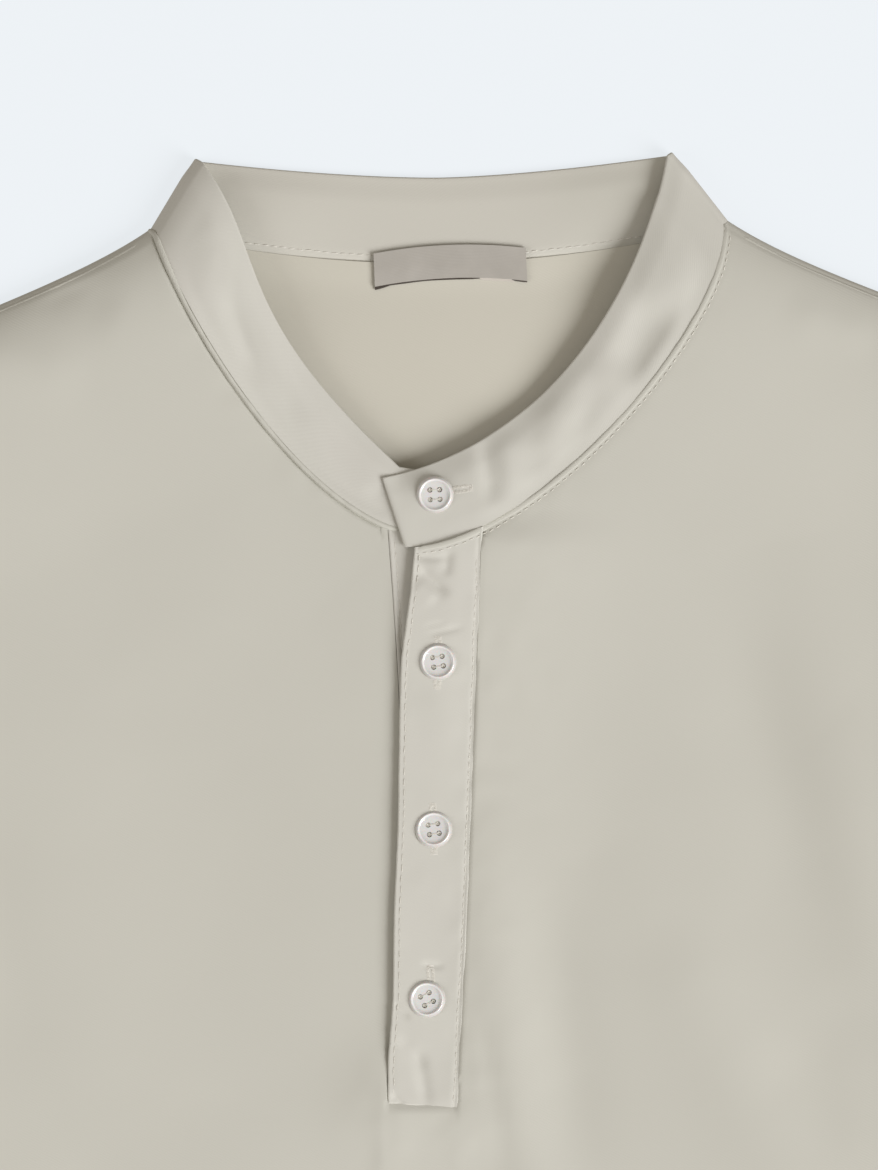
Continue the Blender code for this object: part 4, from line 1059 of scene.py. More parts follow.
def back_half(side):
    """One half of the back, from the centre outwards, with its side and shoulder edges rolled up."""
    lower, upper = LOWER[::2], np.linspace(0.0, 1.0, BACK_ROWS + 1)[1:]
    neck_steps = np.arange(BACK_NECK_COLUMNS) / BACK_NECK_COLUMNS
    below = side_rolls(side, lower)
    rolls = shoulder_rolls(side, np.linspace(0.0, 1.0, BACK_SHOULDER_COLUMNS) ** 1.1)
    top = np.concatenate((back_neck(side, neck_steps) - (0.0, 2 * MEET), rolls.axis))
    outer = np.concatenate((below.axis, armhole_points(side, -MEET, 1 - upper)))
    foot = below.axis[-1]
    levels = np.interp(lower, np.arange(len(SIDE_LEVELS)), SIDE_LEVELS)
    last = lower > len(SIDE_LEVELS) - 1
    levels[last] = lerp(SIDE_LEVELS[-1], foot[1], lower[last] - (len(SIDE_LEVELS) - 1))
    rise = np.concatenate((np.zeros(len(levels)), upper))[:, None, None]
    feet = np.concatenate((below.axis, np.broadcast_to(foot, (len(upper), 2))))
    levels = np.concatenate((levels, np.full(len(upper), foot[1])))
    share = (top[:, 0] / top[-1, 0])[None, :, None]
    centre = np.stack((np.zeros(len(levels)), levels), axis=-1)[:, None]
    plan = lerp(lerp(centre, feet[:, None], share), top[None], rise)
    plan = plan + (outer - lerp(feet, top[-1], rise[:, 0]))[:, None] * share ** ARMHOLE_PULL
    fade = np.maximum(1 - lower / len(SIDE_LEVELS), 0.0)
    flat = share[0, :, 0]
    plan[:len(fade), :, 1] += fade[:, None] * HEM_RISE * (flat * flat - flat)
    grid = with_heights(plan, back_height(side, plan[..., 0], plan[..., 1]))
    over = np.full((ROLL_STEPS, grid.shape[1], 3), np.nan)
    sides = np.full((grid.shape[0] + ROLL_STEPS, ROLL_STEPS, 3), np.nan)
    for step in range(1, ROLL_STEPS + 1):
        over[step - 1, len(neck_steps):] = rolled_edge(rolls, -1, step)
        sides[:len(fade), step - 1] = rolled_edge(below, -1, step)
    return np.concatenate((np.concatenate((grid, over)), sides), axis=1)


def back_height(side, x, y):
    """The back lies flat, but swells up a little in the neck opening and meets the band there."""
    inside = np.exp(-((x / 62.0) ** 2 + ((y + 58.0) / 46.0) ** 2) ** 2)
    waves = 0.5 + 0.5 * unevenness(x * 0.9 + y * 0.45, y, 30.0, 21)
    below_neck = back_neck_level(x, seam_start(side)) - y
    height = BACK_LEVEL + inside * (BACK_SWELL + 0.7 * waves)
    return height + BACK_BANK * bell(below_neck, 6.0) * smooth((74.0 - np.abs(x)) / 12.0)


def body_back():
    """The back panel, flat on the table, and its area."""
    right, left = back_half(RIGHT), back_half(LEFT)
    grid = np.concatenate((right[:, :0:-1], left), axis=1)
    # The back's inside material is painted paler, as painted light in the neck opening's shade.
    return shell("tshirt_back", grid, INSIDE, grid[..., :2]), grid_area(grid)


def back_neck_level(x, end):
    """How high the back neck seam lies, across from the centre to its end."""
    return lerp(-BACK_NECK_DROP, end[1], np.clip(x / end[0], 0.0, 1.0) ** BACK_NECK_POWER)


def back_neck(side, share):
    """The back neck seam, from the centre to the fold."""
    end = seam_start(side)
    x = end[0] * np.asarray(share, float)
    return np.stack((x, back_neck_level(x, end)), axis=-1)


def back_collar_top(side, share):
    """The band's top edge behind the neck, from the centre to the fold."""
    end = collar_roll(side, 1.0, COLLAR_CORNER_RADIUS).axis
    share = np.asarray(share, float)
    return np.stack((end[0] * share, lerp(COLLAR_BACK_TOP, end[1], share ** COLLAR_BACK_POWER)), axis=-1)


# ---------------------------------------------------------------- sleeves

def sleeve(name, side):
    """A sleeve pressed flat, and its area: a tube from the armhole to its hem, folded above and below."""
    stations, plan_steps, turn_steps = 64, 56, 10
    around = np.arange(1, plan_steps) / plan_steps
    turn = math.pi * np.arange(turn_steps + 1) / turn_steps
    ends = tip_roll(side, MEET), underarm_roll(side, MEET)
    bend = armhole_points(side, MEET, around) - lerp(ends[0].axis, ends[1].axis, around[:, None])
    hem_out = mirrored(across(SLEEVE_HEM_UNDER - SLEEVE_HEM_TOP), side)
    bow = (SLEEVE_HEM_BOW * 4 * around * (1 - around))[:, None] * hem_out
    rows = []
    for share in np.arange(stations + 1) / stations:
        if share == 0:
            upper, under = ends
        else:
            upper_out = across(edge_direction(sleeve_top_edge, share))
            under_out = -across(edge_direction(sleeve_under_edge, share))
            upper = roll_at(mirrored(sleeve_top_edge(share), side), mirrored(upper_out, side))
            under = roll_at(mirrored(sleeve_under_edge(share), side), mirrored(under_out, side))
        plan = lerp(upper.axis, under.axis, around[:, None]) + bend * (1 - share) ** 1.5 + bow * share
        top = with_heights(plan, front_height(plan[:, 0], plan[:, 1], fine=True))
        foot = with_heights(plan, np.full(len(plan), BACK_LEVEL))
        rows.append(np.concatenate((
            roll_point(upper, np.zeros(1)), top, roll_point(under, turn), foot[::-1],
            roll_point(upper, turn[:0:-1]))))
    grid = np.stack(rows)
    around_mm = reach_along(grid[stations // 2])
    long_mm = np.linspace(0.0, SLEEVE_LENGTH, stations + 1)
    uv = np.stack(np.broadcast_arrays(around_mm[None], long_mm[:, None]), axis=-1)
    closed = np.concatenate((grid, grid[:, :1]), axis=1)
    return shell(name, grid, COTTON, uv, ring=True), grid_area(closed)


# ---------------------------------------------------------------- collar band

BAND_END_ROUND = (LAYER + CLOTH) / 2
BAND_HEIGHT = 24.0              # as the weave is laid out on it
SEAM_LIP = 0.75                 # how much the right side swells over its turned-in seam
BEHIND_SWELL = 1.3              # how much the inside layer swells up behind the neck, near the folds


def collar_front(side, shares):
    """The outer layer's seam and top edge in front, at shares of the way down from the fold."""
    top_curve = (collar_roll(side, 1.0, COLLAR_CORNER_RADIUS).axis,) + COLLAR_TOP[side]
    corner_lift = 2 * (COLLAR_CORNER_RADIUS - NECK_RADIUS)
    seam, top = collar_seam(side, shares), bezier(top_curve, shares)
    height = front_height(seam[:, 0], seam[:, 1])
    if side == LEFT:
        height = height + lap_height(seam[:, 0], seam[:, 1])
        height = height + LAYER * smooth((OVER_RAMP[0] - seam[:, 0]) / (OVER_RAMP[0] - OVER_RAMP[1]))
    lift = lerp(corner_lift, COLLAR_CENTRE_LIFT, shares) + COLLAR_LIFT[side] * np.sin(math.pi * shares)
    return (with_heights(seam, height + plump(outline_reach(seam[:, 0], seam[:, 1]))),
            with_heights(top, height + lift + plump(outline_reach(top[:, 0], top[:, 1]))))


def collar_behind(side, shares):
    """The outer layer's seam and top edge behind the neck, at shares of the way out to the fold."""
    level = np.full(len(shares), BACK_LEVEL)
    seam, top = back_neck(side, shares), back_collar_top(side, shares)
    return with_heights(seam, level), with_heights(top, level)


def collar_fold(side):
    """The outer layer's seam and top edge round the fold, from the front to the back."""
    angles = math.pi * np.arange(13) / 12
    return [roll_point(collar_roll(side, place, radius), angles)
            for place, radius in ((0.0, NECK_RADIUS), (1.0, COLLAR_CORNER_RADIUS))]


def collar_stations():
    """The outer layer as two rows of points, on its seam and on its top edge, end to end.

    They start at the end that lies under, go up the wearer's right side, round the fold, behind
    the neck, round the other fold, and down the left side to the end that lies over.
    """
    ends = np.linspace(1.0, 0.0, 14)[:-1, None]
    seam = lerp(COLLAR_SEAM[RIGHT][2], UNDER_END[0], ends)
    top = lerp(COLLAR_TOP[RIGHT][2], UNDER_END[1], ends)
    height = front_height(seam[:, 0], seam[:, 1])
    shares = np.linspace(0.0, 1.0, 96)[1:]
    close = np.concatenate((shares[:-1], 1 - np.array((0.0045, 0.002, 0.0008, 0.0))))
    parts = (
        (with_heights(seam, height), with_heights(top, height + COLLAR_CENTRE_LIFT)),
        [row[::-1] for row in collar_front(RIGHT, shares)],
        collar_fold(RIGHT),
        collar_behind(RIGHT, np.linspace(1.0, 0.0, 50)[1:]),
        collar_behind(LEFT, np.linspace(0.0, 1.0, 50)[1:-1]),
        [row[::-1] for row in collar_fold(LEFT)],
        collar_front(LEFT, close),
    )
    return np.concatenate([part[0] for part in parts]), np.concatenate([part[1] for part in parts])


def band_relief(seam, plan, rise, across_mm, reach):
    """How far the band's outer layer stands out of its plain shape: its creases, crown and seam.

    Only its front has any. The wearer's right side is rounded, and turned in at its seam. The left
    side falls away towards its fold.
    """
    front = (seam[:, 2] > BACK_LEVEL + 1.0)[:, None]
    folds = np.flatnonzero(np.abs(np.gradient(seam[:, 2])) > 0.2)
    from_fold = smooth(np.abs(reach[:, None] - reach[folds][None]).min(axis=1)[:, None] / 16.0)
    from_end = smooth(np.minimum(reach, reach[-1] - reach) / 5.0)[:, None]
    distance = reach[:, None] * np.ones_like(rise)[None]
    relief = crease_heights(BAND_CREASES, plan[..., 0], plan[..., 1])
    relief = relief + 0.2 * unevenness(distance, across_mm, 15.0, 31)
    relief = relief + 0.03 * unevenness(distance, across_mm, 6.0, 32)
    middle = np.argmin(np.where(front[:, 0], HEM_HALF, np.abs(seam[:, 0])))
    turned_in = np.arange(len(seam))[:, None] < middle
    crown = np.where(turned_in, 0.6 * np.sin(math.pi * rise ** 0.7) ** 0.8,
                     0.15 - 1.65 * np.clip((rise - 0.42) / 0.58, 0.0, 1.0) ** 2)
    shape = (relief + crown) * from_fold * smooth(rise / 0.25) * from_end
    shape = shape + SEAM_LIP * bell(across_mm, 3.5) * from_fold * turned_in
    return np.where(front, shape, 0.0)


def band():
    """The band: one strip folded along its top, both its edges sewn in at the neck seam.

    Columns run from the outer seam, up the outside, over the fold and down the inside. It gives the
    piece, its length and its usual height.
    """
    seam, top = collar_stations()
    height = np.linalg.norm(top - seam, axis=1)
    reach = reach_along((seam + top) / 2)
    to_end = np.minimum(reach, reach[-1] - reach)
    rise = np.concatenate(((0.0, 0.012, 0.03, 0.055, 0.085), np.linspace(0.12, 1.0, 24)))
    shape = band_relief(seam, lerp(seam[:, None], top[:, None], rise[None, :, None]), rise,
                        height[:, None] * rise[None], reach)

    # The two layers are apart, and close round on each other at both ends and towards the fold.
    short = 1 - np.minimum(to_end / BAND_END_ROUND, 1.0)
    closed = np.sqrt(np.clip(1 - short ** 2, 0.0, 1.0)) * BAND_END_ROUND
    free = np.maximum(closed - CLOTH, 0.0)
    offset, wall = (closed + free) / 2, np.maximum(closed - free, 0.06)
    thin = lerp(0.75, 1.0, smooth((to_end - 8.0) / 22.0))
    pinch = 1 - 0.45 * smooth((rise - 0.7) / 0.3)

    # The inside is drawn in along its lower edge and stitches, and swells a little behind the neck.
    inside_mm = rise * np.median(height)
    hollow = 0.6 * bell(inside_mm, 1.2) + 0.08 * bell(inside_mm - 2.0, 0.5)
    aside = np.abs(seam[:, 0])
    swell = BEHIND_SWELL * bell(aside - 62.0, 22.0) * smooth((84.0 - aside) / 14.0)
    swell = np.where(seam[:, 2] > BACK_LEVEL + 1.0, 0.0, swell)

    up = (top - seam) * (1 - BAND_END_ROUND / height)[:, None]
    normal_low = unit(np.cross(top - seam, np.gradient(seam, axis=0)))
    normal_high = unit(np.cross(top - seam, np.gradient(top, axis=0)))
    outer, inner = [], []
    for k, share in enumerate(rise):
        normal = unit(lerp(normal_low, normal_high, share))
        base = seam + up * share + normal * (shape[:, k] - LAYER / 2)[:, None]
        half = normal * (offset * thin * pinch[k])[:, None]
        outer.append(base + half)
        inner.append(base - half + normal * hollow[k]
                     + UP * (swell * math.sin(math.pi * share ** 0.7))[:, None])
    tip = seam + up + normal_high * (shape[:, -1] - LAYER / 2)[:, None]
    lift = unit(top - seam)
    half = offset * thin * pinch[-1]
    turn = [tip + normal_high * (half * math.cos(angle))[:, None]
            + lift * (half * math.sin(angle))[:, None] for angle in math.pi * np.arange(1, 8) / 8]
    grid = np.stack(outer + turn + inner[::-1], axis=1)
    walls = (wall * thin)[:, None] * np.concatenate((pinch, np.full(len(turn), pinch[-1]), pinch[::-1]))
    over_fold = BAND_HEIGHT + np.arange(1, 8) * 0.3
    profile = np.concatenate((rise * BAND_HEIGHT, over_fold,
                              BAND_HEIGHT + 2.4 + (1 - rise[::-1]) * BAND_HEIGHT))
    uv = np.stack(np.broadcast_arrays(reach[:, None], profile[None]), axis=-1)
    piece = shell("collar_band", grid, FACED, uv, wall=walls, lining=(LINED, len(rise) + 4))
    return piece, reach[-1], float(np.median(height))


# ---------------------------------------------------------------- plackets

def tapered(distances, wall, edge=0.5):
    """Thins a wall towards its edge so that the edge is round."""
    share = np.clip(distances / edge, 0.0, 1.0)
    return np.maximum(wall * np.sqrt(1 - (1 - share) ** 2), 0.08)


def placket_over():
    """The strip with the buttonholes, from under the collar down to its square foot."""
    close = np.array((0.0, 0.04, 0.14, 0.3, 0.5, 0.8, 1.15, 1.5, 1.9, 2.3, 2.8, 3.4))
    width = PLACKET_EDGE_LEFT[3][0] - PLACKET_EDGE_RIGHT[3][0]
    between_edges = np.linspace(close[-1], width - close[-1], 20)[1:-1]
    shares = np.concatenate((close / width, between_edges / width, 1 - close[::-1] / width))
    foot = lerp(PLACKET_EDGE_RIGHT[3], PLACKET_EDGE_LEFT[3], shares[:, None])
    top_x = lerp(PLACKET_EDGE_RIGHT[0][0], PLACKET_EDGE_LEFT[0][0], shares)
    top_y = collar_seam(LEFT, share_at_x(LEFT, top_x))[:, 1] - 0.15
    up = np.concatenate((close / PLACKET_LENGTH, np.linspace(close[-1] / PLACKET_LENGTH, 1.0, 190)[1:]))
    y = lerp(foot[None, :, 1], top_y[None], up[:, None])
    free, sewn = x_at_level(PLACKET_EDGE_RIGHT, y), x_at_level(PLACKET_EDGE_LEFT, y)
    x = lerp(free, sewn, shares[None])
    stray = np.interp(y, *FREE_EDGE_STRAYS) + 0.06 * unevenness(y, y * 0.0, 3.0, 18)
    x = x + stray * (1 - shares[None]) + 0.1 * unevenness(y, y * 0.0, 5.0, 19) * shares[None]
    grid = np.stack((x, y, placket_height(x, y, fine=True)), axis=-1)
    to_side = np.minimum(shares, 1 - shares) * width
    to_edge = np.minimum(np.broadcast_to(to_side, y.shape), (up * PLACKET_LENGTH)[:, None])
    return shell("placket_over_cloth", grid, FACED, grid[..., :2], wall=tapered(to_edge, 1.15))


def placket_under():
    """The strip that carries the buttons, in the slit, sewn to the wearer's right side."""
    y = np.linspace(SLIT[RIGHT][3][1] + 0.4, COLLAR_SEAM[RIGHT][2][1] + 0.5, 150)[:, None]
    start, end = x_at_level(SLIT[RIGHT], y) + 0.06, x_at_level(SLIT[LEFT], y) - 0.6
    shares = np.concatenate(((0.0, 0.004, 0.012, 0.025, 0.05, 0.08, 0.11, 0.15),
                             np.linspace(0.2, 1.0, 18)))
    x = lerp(start, end, shares[None])
    y = np.broadcast_to(y, x.shape)
    inside = x - start
    height = front_height(x, y) + 0.12 * unevenness(x, y, 9.0, 23)
    height = height - pressed(UNDER_GROOVE, inside) + 0.18 * bell(inside - 0.8, 0.5)
    grid = np.stack((x, y, height), axis=-1)
    return shell("placket_under_cloth", grid, FACED, grid[..., :2], wall=tapered(inside, 1.0, 0.35))


# ---------------------------------------------------------------- neck label

def label_place(along, up):
    """A plan point of the label: along from 0 to 1, and up from its arched middle line in mm."""
    way = spot(math.cos(LABEL_TURN), math.sin(LABEL_TURN))
    half = way * LABEL_SIZE[0] / 2
    line = bowed(LABEL_CENTRE - half, LABEL_CENTRE + half, along, LABEL_BOW)
    return line + across(way) * np.asarray(up)[..., None]


def neck_label():
    """The label's face, arched, its lower edge drooping a little."""
    along, up = np.meshgrid(np.linspace(0.0, 1.0, 72), np.linspace(-0.5, 0.5, 16))
    plan = label_place(along, up * LABEL_SIZE[1])
    waves = unevenness(along * LABEL_SIZE[0], up * 0.0, 9.0, 41)
    droop = (0.55 - 0.25 * np.sin(math.pi * along) - 0.2 * waves) * (0.5 - up)
    grid = with_heights(plan, LABEL_LEVEL + 0.3 - droop)
    uv = np.stack((along * LABEL_SIZE[0], up * LABEL_SIZE[1]), axis=-1)
    return shell("neck_label_ribbon", grid, SATIN, uv, wall=0.4)


# How far the layers below the label reach past its lower edge, at shares along it, in mm: the dark strip
# that stands in for the shadow under the edge as painted shadow, the lighter tab, and a dark corner.
LABEL_SHADOW_REACH = ((0.0, 0.03, 0.075, 0.1, 0.2, 0.34, 0.5, 0.64, 0.69),
                 (1.0, 0.95, 0.65, 0.4, 0.5, 0.4, 0.5, 0.45, 0.2))
LABEL_TAB = ((0.69, 0.7, 0.8, 0.915, 0.925), (0.2, 0.65, 0.75, 0.7, 0.2))
LABEL_CORNER = ((0.9, 0.93, 0.97, 1.0), (0.1, 0.4, 0.45, 0.4))


def label_back():
    """Dark sheets peek out below the label as painted shadow under its lower edge, partly its
    folded-under layers at the corners, with one lighter tab.
    """
    parts = []
    for reach, satin in ((LABEL_SHADOW_REACH, SATIN_PAINTED_SHADOW), (LABEL_TAB, SATIN_TAB), (LABEL_CORNER, SATIN_PAINTED_SHADOW)):
        along, up = np.meshgrid(np.linspace(reach[0][0], reach[0][-1], 60), np.linspace(0.0, 1.0, 6))
        low = -LABEL_SIZE[1] / 2 - np.interp(along, *reach)
        plan = label_place(along, lerp(low, -1.5, up))
        grid = with_heights(plan, np.full(along.shape, LABEL_LEVEL - 0.35))
        uv = np.stack((along * LABEL_SIZE[0], up * LABEL_SIZE[1]), axis=-1)
        parts.append(shell(f"label_layer_{len(parts) + 1}", grid, satin, uv, wall=0.2))
    return parts


# ---------------------------------------------------------------- buttons

Button = namedtuple("Button", "name x y turn tilt nod")
BUTTONS = (
    Button(name="button_band", x=-2.5, y=-81.1, turn=1.0, tilt=4.0, nod=0.0),
    Button(name="button_top", x=-2.3, y=-132.3, turn=7.0, tilt=5.0, nod=0.0),
    Button(name="button_middle", x=-4.3, y=-183.8, turn=8.0, tilt=1.0, nod=5.0),
    Button(name="button_bottom", x=-7.1, y=-235.9, turn=26.0, tilt=2.0, nod=2.0),
)
BUTTON_OUTLINE = (
    # distance from the axis as a share of the radius, height above the button's foot
    (0.00, 0.00), (0.50, 0.00), (0.62, 0.07), (0.80, 0.30), (0.92, 0.58), (0.98, 0.86), (1.00, 1.06),
    (0.995, 1.22), (0.975, 1.36), (0.945, 1.50), (0.91, 1.68), (0.885, 1.86), (0.86, 1.97), (0.835, 2.00),
    (0.81, 1.96), (0.79, 1.84), (0.765, 1.66), (0.72, 1.54), (0.62, 1.47), (0.45, 1.42), (0.22, 1.38),
    (0.00, 1.37),
)
BUTTON_SIDES = 72
WELL = 1.40                     # the height of the face that the holes go through
HOLE_OFFSET = 2.1               # from the button's axis to each hole's
HOLE_BORES = (
    # lower radius, upper radius, length, the middle's height
    (0.82, 0.82, 4.0, 0.6),
    (0.3, 1.2, 0.8, WELL + 0.22),
)
BUTTON_SINK = 0.8               # how far a button presses into the cloth under it


def button_blank(name):
    """A button turned from its outline, closed at its foot and across its face."""
    mesh = bmesh.new()
    rings = []
    for share, height in BUTTON_OUTLINE[1:-1]:
        reach = share * BUTTON_RADIUS * MM
        rings.append([mesh.verts.new((reach * math.cos(angle), reach * math.sin(angle), height * MM))
                      for angle in np.arange(BUTTON_SIDES) * 2 * math.pi / BUTTON_SIDES])
    for lower, upper in zip(rings, rings[1:]):
        for k in range(BUTTON_SIDES):
            following = (k + 1) % BUTTON_SIDES
            mesh.faces.new((lower[k], lower[following], upper[following], upper[k]))
    mesh.faces.new(rings[0][::-1])
    mesh.faces.new(rings[-1])
    bmesh.ops.recalc_face_normals(mesh, faces=mesh.faces)
    return linked_bmesh(name, mesh)


def button_drill():
    """What the four holes take away: a straight bore each, and a cone that eases its mouth."""
    mesh = bmesh.new()
    for k in range(4):
        corner = math.radians(45 + 90 * k)
        centre = Vector((math.cos(corner), math.sin(corner), 0.0)) * HOLE_OFFSET * MM
        for narrow, wide, depth, lift in HOLE_BORES:
            bore = bmesh.ops.create_cone(mesh, cap_ends=True, segments=24, radius1=narrow * MM,
                                         radius2=wide * MM, depth=depth * MM)
            bmesh.ops.translate(mesh, verts=bore["verts"], vec=centre + Vector((0.0, 0.0, lift * MM)))
    return linked_bmesh("button_drill", mesh)


def linked_bmesh(name, mesh):
    """An object of a bmesh, which is freed."""
    data = bpy.data.meshes.new(name)
    mesh.to_mesh(data)
    mesh.free()
    return linked(name, data)


def button(entry):
    """A turned four-hole button, in the place of its solid, pressed down on the cloth."""
    piece, drill = button_blank(entry.name + "_pearl"), button_drill()
    cut = piece.modifiers.new("holes", "BOOLEAN")
    cut.operation, cut.solver, cut.object, cut.use_self = "DIFFERENCE", "EXACT", drill, True
    bpy.context.view_layer.update()
    made = bpy.data.meshes.new_from_object(piece.evaluated_get(bpy.context.evaluated_depsgraph_get()))
    piece.modifiers.clear()
    blank, piece.data = piece.data, made
    bpy.data.objects.remove(drill)
    bpy.data.meshes.remove(blank)
    made.name = piece.name
    for layer in list(made.uv_layers):
        made.uv_layers.remove(layer)
    turned = made.uv_layers.new(name="turned")
    for loop in made.loops:
        turned.uv[loop.index].vector = made.vertices[loop.vertex_index].co.xy
    foot = seated([(entry.x, entry.y)], [BAND, OVER])[0][0][2] - BUTTON_SINK
    for vertex in made.vertices:
        place = seat_button(entry, foot, np.array(vertex.co) / MM)
        vertex.co = (place + (0.0, ORIGIN_Y, 0.0)) * MM
    made.shade_smooth()
    made.set_sharp_from_angle(angle=math.radians(38))
    made.materials.clear()
    made.materials.append(PEARL)
    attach(piece, "root")
    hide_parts(entry.name)
    return foot


def seat_button(entry, foot, place):
    """A point of the button's own frame, turned about its axis, tilted and set down on its foot."""
    turn, tilt, nod = (math.radians(angle) for angle in (entry.turn, entry.tilt, entry.nod))
    x = place[0] * math.cos(turn) - place[1] * math.sin(turn)
    y = place[0] * math.sin(turn) + place[1] * math.cos(turn)
    return np.array((entry.x + x * math.cos(tilt),
                     entry.y + y * math.cos(nod) + place[2] * math.sin(nod),
                     foot + place[2] + x * math.sin(tilt) - y * math.sin(nod)))


def button_thread(entry, foot):
    """The thread that fastens a button: two floats across its holes, and the strands that fill them."""
    steps = 13
    along, aside = np.tile(UP, (steps, 1)), np.tile((1.0, 0.0, 0.0), (steps, 1))
    reach = HOLE_OFFSET * math.cos(math.pi / 4)
    parts = []
    for sign in (-1, 1):
        for strand in (-0.14, 0.14):
            points = []
            for share in np.linspace(-1.0, 1.0, steps):
                drop = max(abs(share) - 0.66, 0.0) * 3.2
                place = (share * reach, sign * reach + strand, WELL - 0.01 - drop)
                points.append(seat_button(entry, foot, place))
            parts.append(seam_cord("thread", np.array(points), along, THREAD, 0.11, 0.08, 51 + sign,
                                   taper=0.3))
        for end in (-1, 1):
            for k in range(5):
                start = 2 * math.pi * k / 5 + end
                points = []
                for twist in np.linspace(0.0, 1.0, steps):
                    place = (end * reach + 0.38 * math.cos(start + twist),
                             sign * reach + 0.38 * math.sin(start + twist), 0.1 + 1.16 * twist)
                    points.append(seat_button(entry, foot, place))
                parts.append(seam_cord("thread", np.array(points), aside, THREAD, 0.3, 0.3, 57 + k,
                                       taper=0.3))
    return joined("thread_of_" + entry.name, parts)


# ---------------------------------------------------------------- buttonholes

Buttonhole = namedtuple("Buttonhole", "name x y length turn")
BUTTONHOLES = (
    Buttonhole(name="buttonhole_band", x=1.7, y=-79.9, length=14.8, turn=6.0),
    Buttonhole(name="buttonhole_top", x=-2.4, y=-132.5, length=16.2, turn=88.0),
    Buttonhole(name="buttonhole_middle", x=-4.4, y=-183.6, length=15.6, turn=91.0),
    Buttonhole(name="buttonhole_bottom", x=-5.6, y=-232.6, length=14.6, turn=93.0),
)
CROSS_PITCH = 0.42
BAR_DEPTH = 1.3                 # how much of the length the bar at each end takes
BAR_SPANS = ((-1.6, 1.6),)      # from where to where a stitch runs, across the slit
SIDE_SPANS = ((-1.5, -0.02), (0.02, 1.5))
CROSS_THREAD = 0.19, 0.16       # half its width and height
CROSS_RINGS = (
    # share of the stitch, share of the thread's size, how far it dips
    (0.0, 0.6, 0.14), (0.2, 1.0, 0.04), (0.5, 1.05, 0.0), (0.8, 1.0, 0.04), (1.0, 0.6, 0.14),
)


def buttonhole(entry, surfaces):
    """Close cross stitches down both sides of a slit, and a bar of longer ones at each end."""
    turn = math.radians(entry.turn)
    way, aside = spot(math.cos(turn), math.sin(turn)), spot(-math.sin(turn), math.cos(turn))
    half = entry.length / 2
    paths = []
    for place in np.arange(-half, half + 0.01, CROSS_PITCH):
        middle = spot(entry.x, entry.y) + way * place
        at_bar = half - abs(place) < BAR_DEPTH
        for low, high in BAR_SPANS if at_bar else SIDE_SPANS:
            paths.append((middle + aside * low, middle + aside * high))
    vertices = []
    rng = np.random.default_rng(len(entry.name))
    for path in paths:
        ends = np.array(path) + rng.uniform(-0.08, 0.08, (2, 2))
        places = seated([lerp(ends[0], ends[1], ring[0]) for ring in CROSS_RINGS], surfaces)[0]
        for (x, y, top), (_, size, dip) in zip(places, CROSS_RINGS):
            for k in range(STITCH_SIDES):
                angle = 2 * math.pi * k / STITCH_SIDES
                plan = spot(x, y) + way * CROSS_THREAD[0] * size * math.cos(angle)
                vertices.append((*plan, top - 0.05 - dip + CROSS_THREAD[1] * size * math.sin(angle)))
    piece = link_mesh(entry.name, vertices, stitch_faces(len(paths)), THREAD, sharp=80)
    EXTRA.append(piece)
    return piece


# ---------------------------------------------------------------- making the shirt

front, front_area = body_front()
back, back_area = body_back()
sleeve_left, sleeve_left_area = sleeve("sleeve_left_cloth", LEFT)
sleeve_right, sleeve_right_area = sleeve("sleeve_right_cloth", RIGHT)
collar, band_length, band_height = band()
over, under = placket_over(), placket_under()
label, label_layers = neck_label(), label_back()

FRONT, BAND, OVER, UNDER = (surface_of(piece) for piece in (front, collar, over, under))
SLEEVES = [surface_of(piece) for piece in (sleeve_left, sleeve_right)]


def eased(path, passes):
    """A path with its corners rounded off, its ends kept."""
    for _ in range(passes):
        path = np.concatenate((path[:1], (path[:-2] + 2 * path[1:-1] + path[2:]) / 4, path[-1:]))
    return path


# The ridge of turned-in cloth along the front neck seam: how far out from the seam it lies, the x
# that it runs down to, and its size.
NeckCord = namedtuple("NeckCord", "out end_x half_width half_height")
NECK_CORD = {RIGHT: NeckCord(out=0.65, end_x=-15.0, half_width=0.9, half_height=0.85),
             LEFT: NeckCord(out=0.75, end_x=-9.0, half_width=0.8, half_height=0.17)}
SIDE_NAMES = {RIGHT: "right", LEFT: "left"}


def neck_seam(side):
    """The ridge along the front neck seam and over the shoulder fold, and the left side's stitches."""
    cord = NECK_CORD[side]
    shares = np.linspace(0.0, 1.0, 260) * float(share_at_x(side, cord.end_x))
    seam, outward = collar_seam(side, shares), seam_outward(side, shares)
    line = (seam + outward * cord.out)[4:]
    surfaces = [FRONT, UNDER] if side == RIGHT else [FRONT, OVER]
    if side == RIGHT:
        onward = np.linspace(0.1, 1.0, 10)[:, None]
        line = np.concatenate((line, lerp(line[-1], line[-1] + spot(3.6, 0.0), onward)))
    ridge, ups = seated(line, surfaces, rise=-0.02)
    roll = neck_roll(side)
    angles = np.linspace(0.75 * math.pi, 0.1, 12)
    bend = roll_point(Roll(roll.axis, roll.out, roll.radius + CLOTH / 2 - 0.02), angles)
    bend[:, 2] -= CLOTH / 2 - 0.02
    bend[:, :2] += unit(mirrored(NECK_POINT, side) - COLLAR_CORNER[side]) * 0.7
    bend_up = with_heights(roll.out * np.sin(angles)[:, None], np.cos(angles))
    path = eased(np.concatenate((bend, ridge)), 6)
    ups = unit(np.concatenate((bend_up, np.broadcast_to(UP, ridge.shape))))
    seam_cord("neck_seam_" + SIDE_NAMES[side], path, ups, COTTON, cord.half_width, cord.half_height,
              61 + side)
    if side == LEFT:
        points, ups = seated((seam + outward * 2.3)[8:], surfaces)
        stitches("neck_stitches_left", eased(points, 2), ups, THREAD, pitch=2.5, thread=0.15, sunk=0.05,
                 share=0.62, seed=71)


for side in (RIGHT, LEFT):
    neck_seam(side)

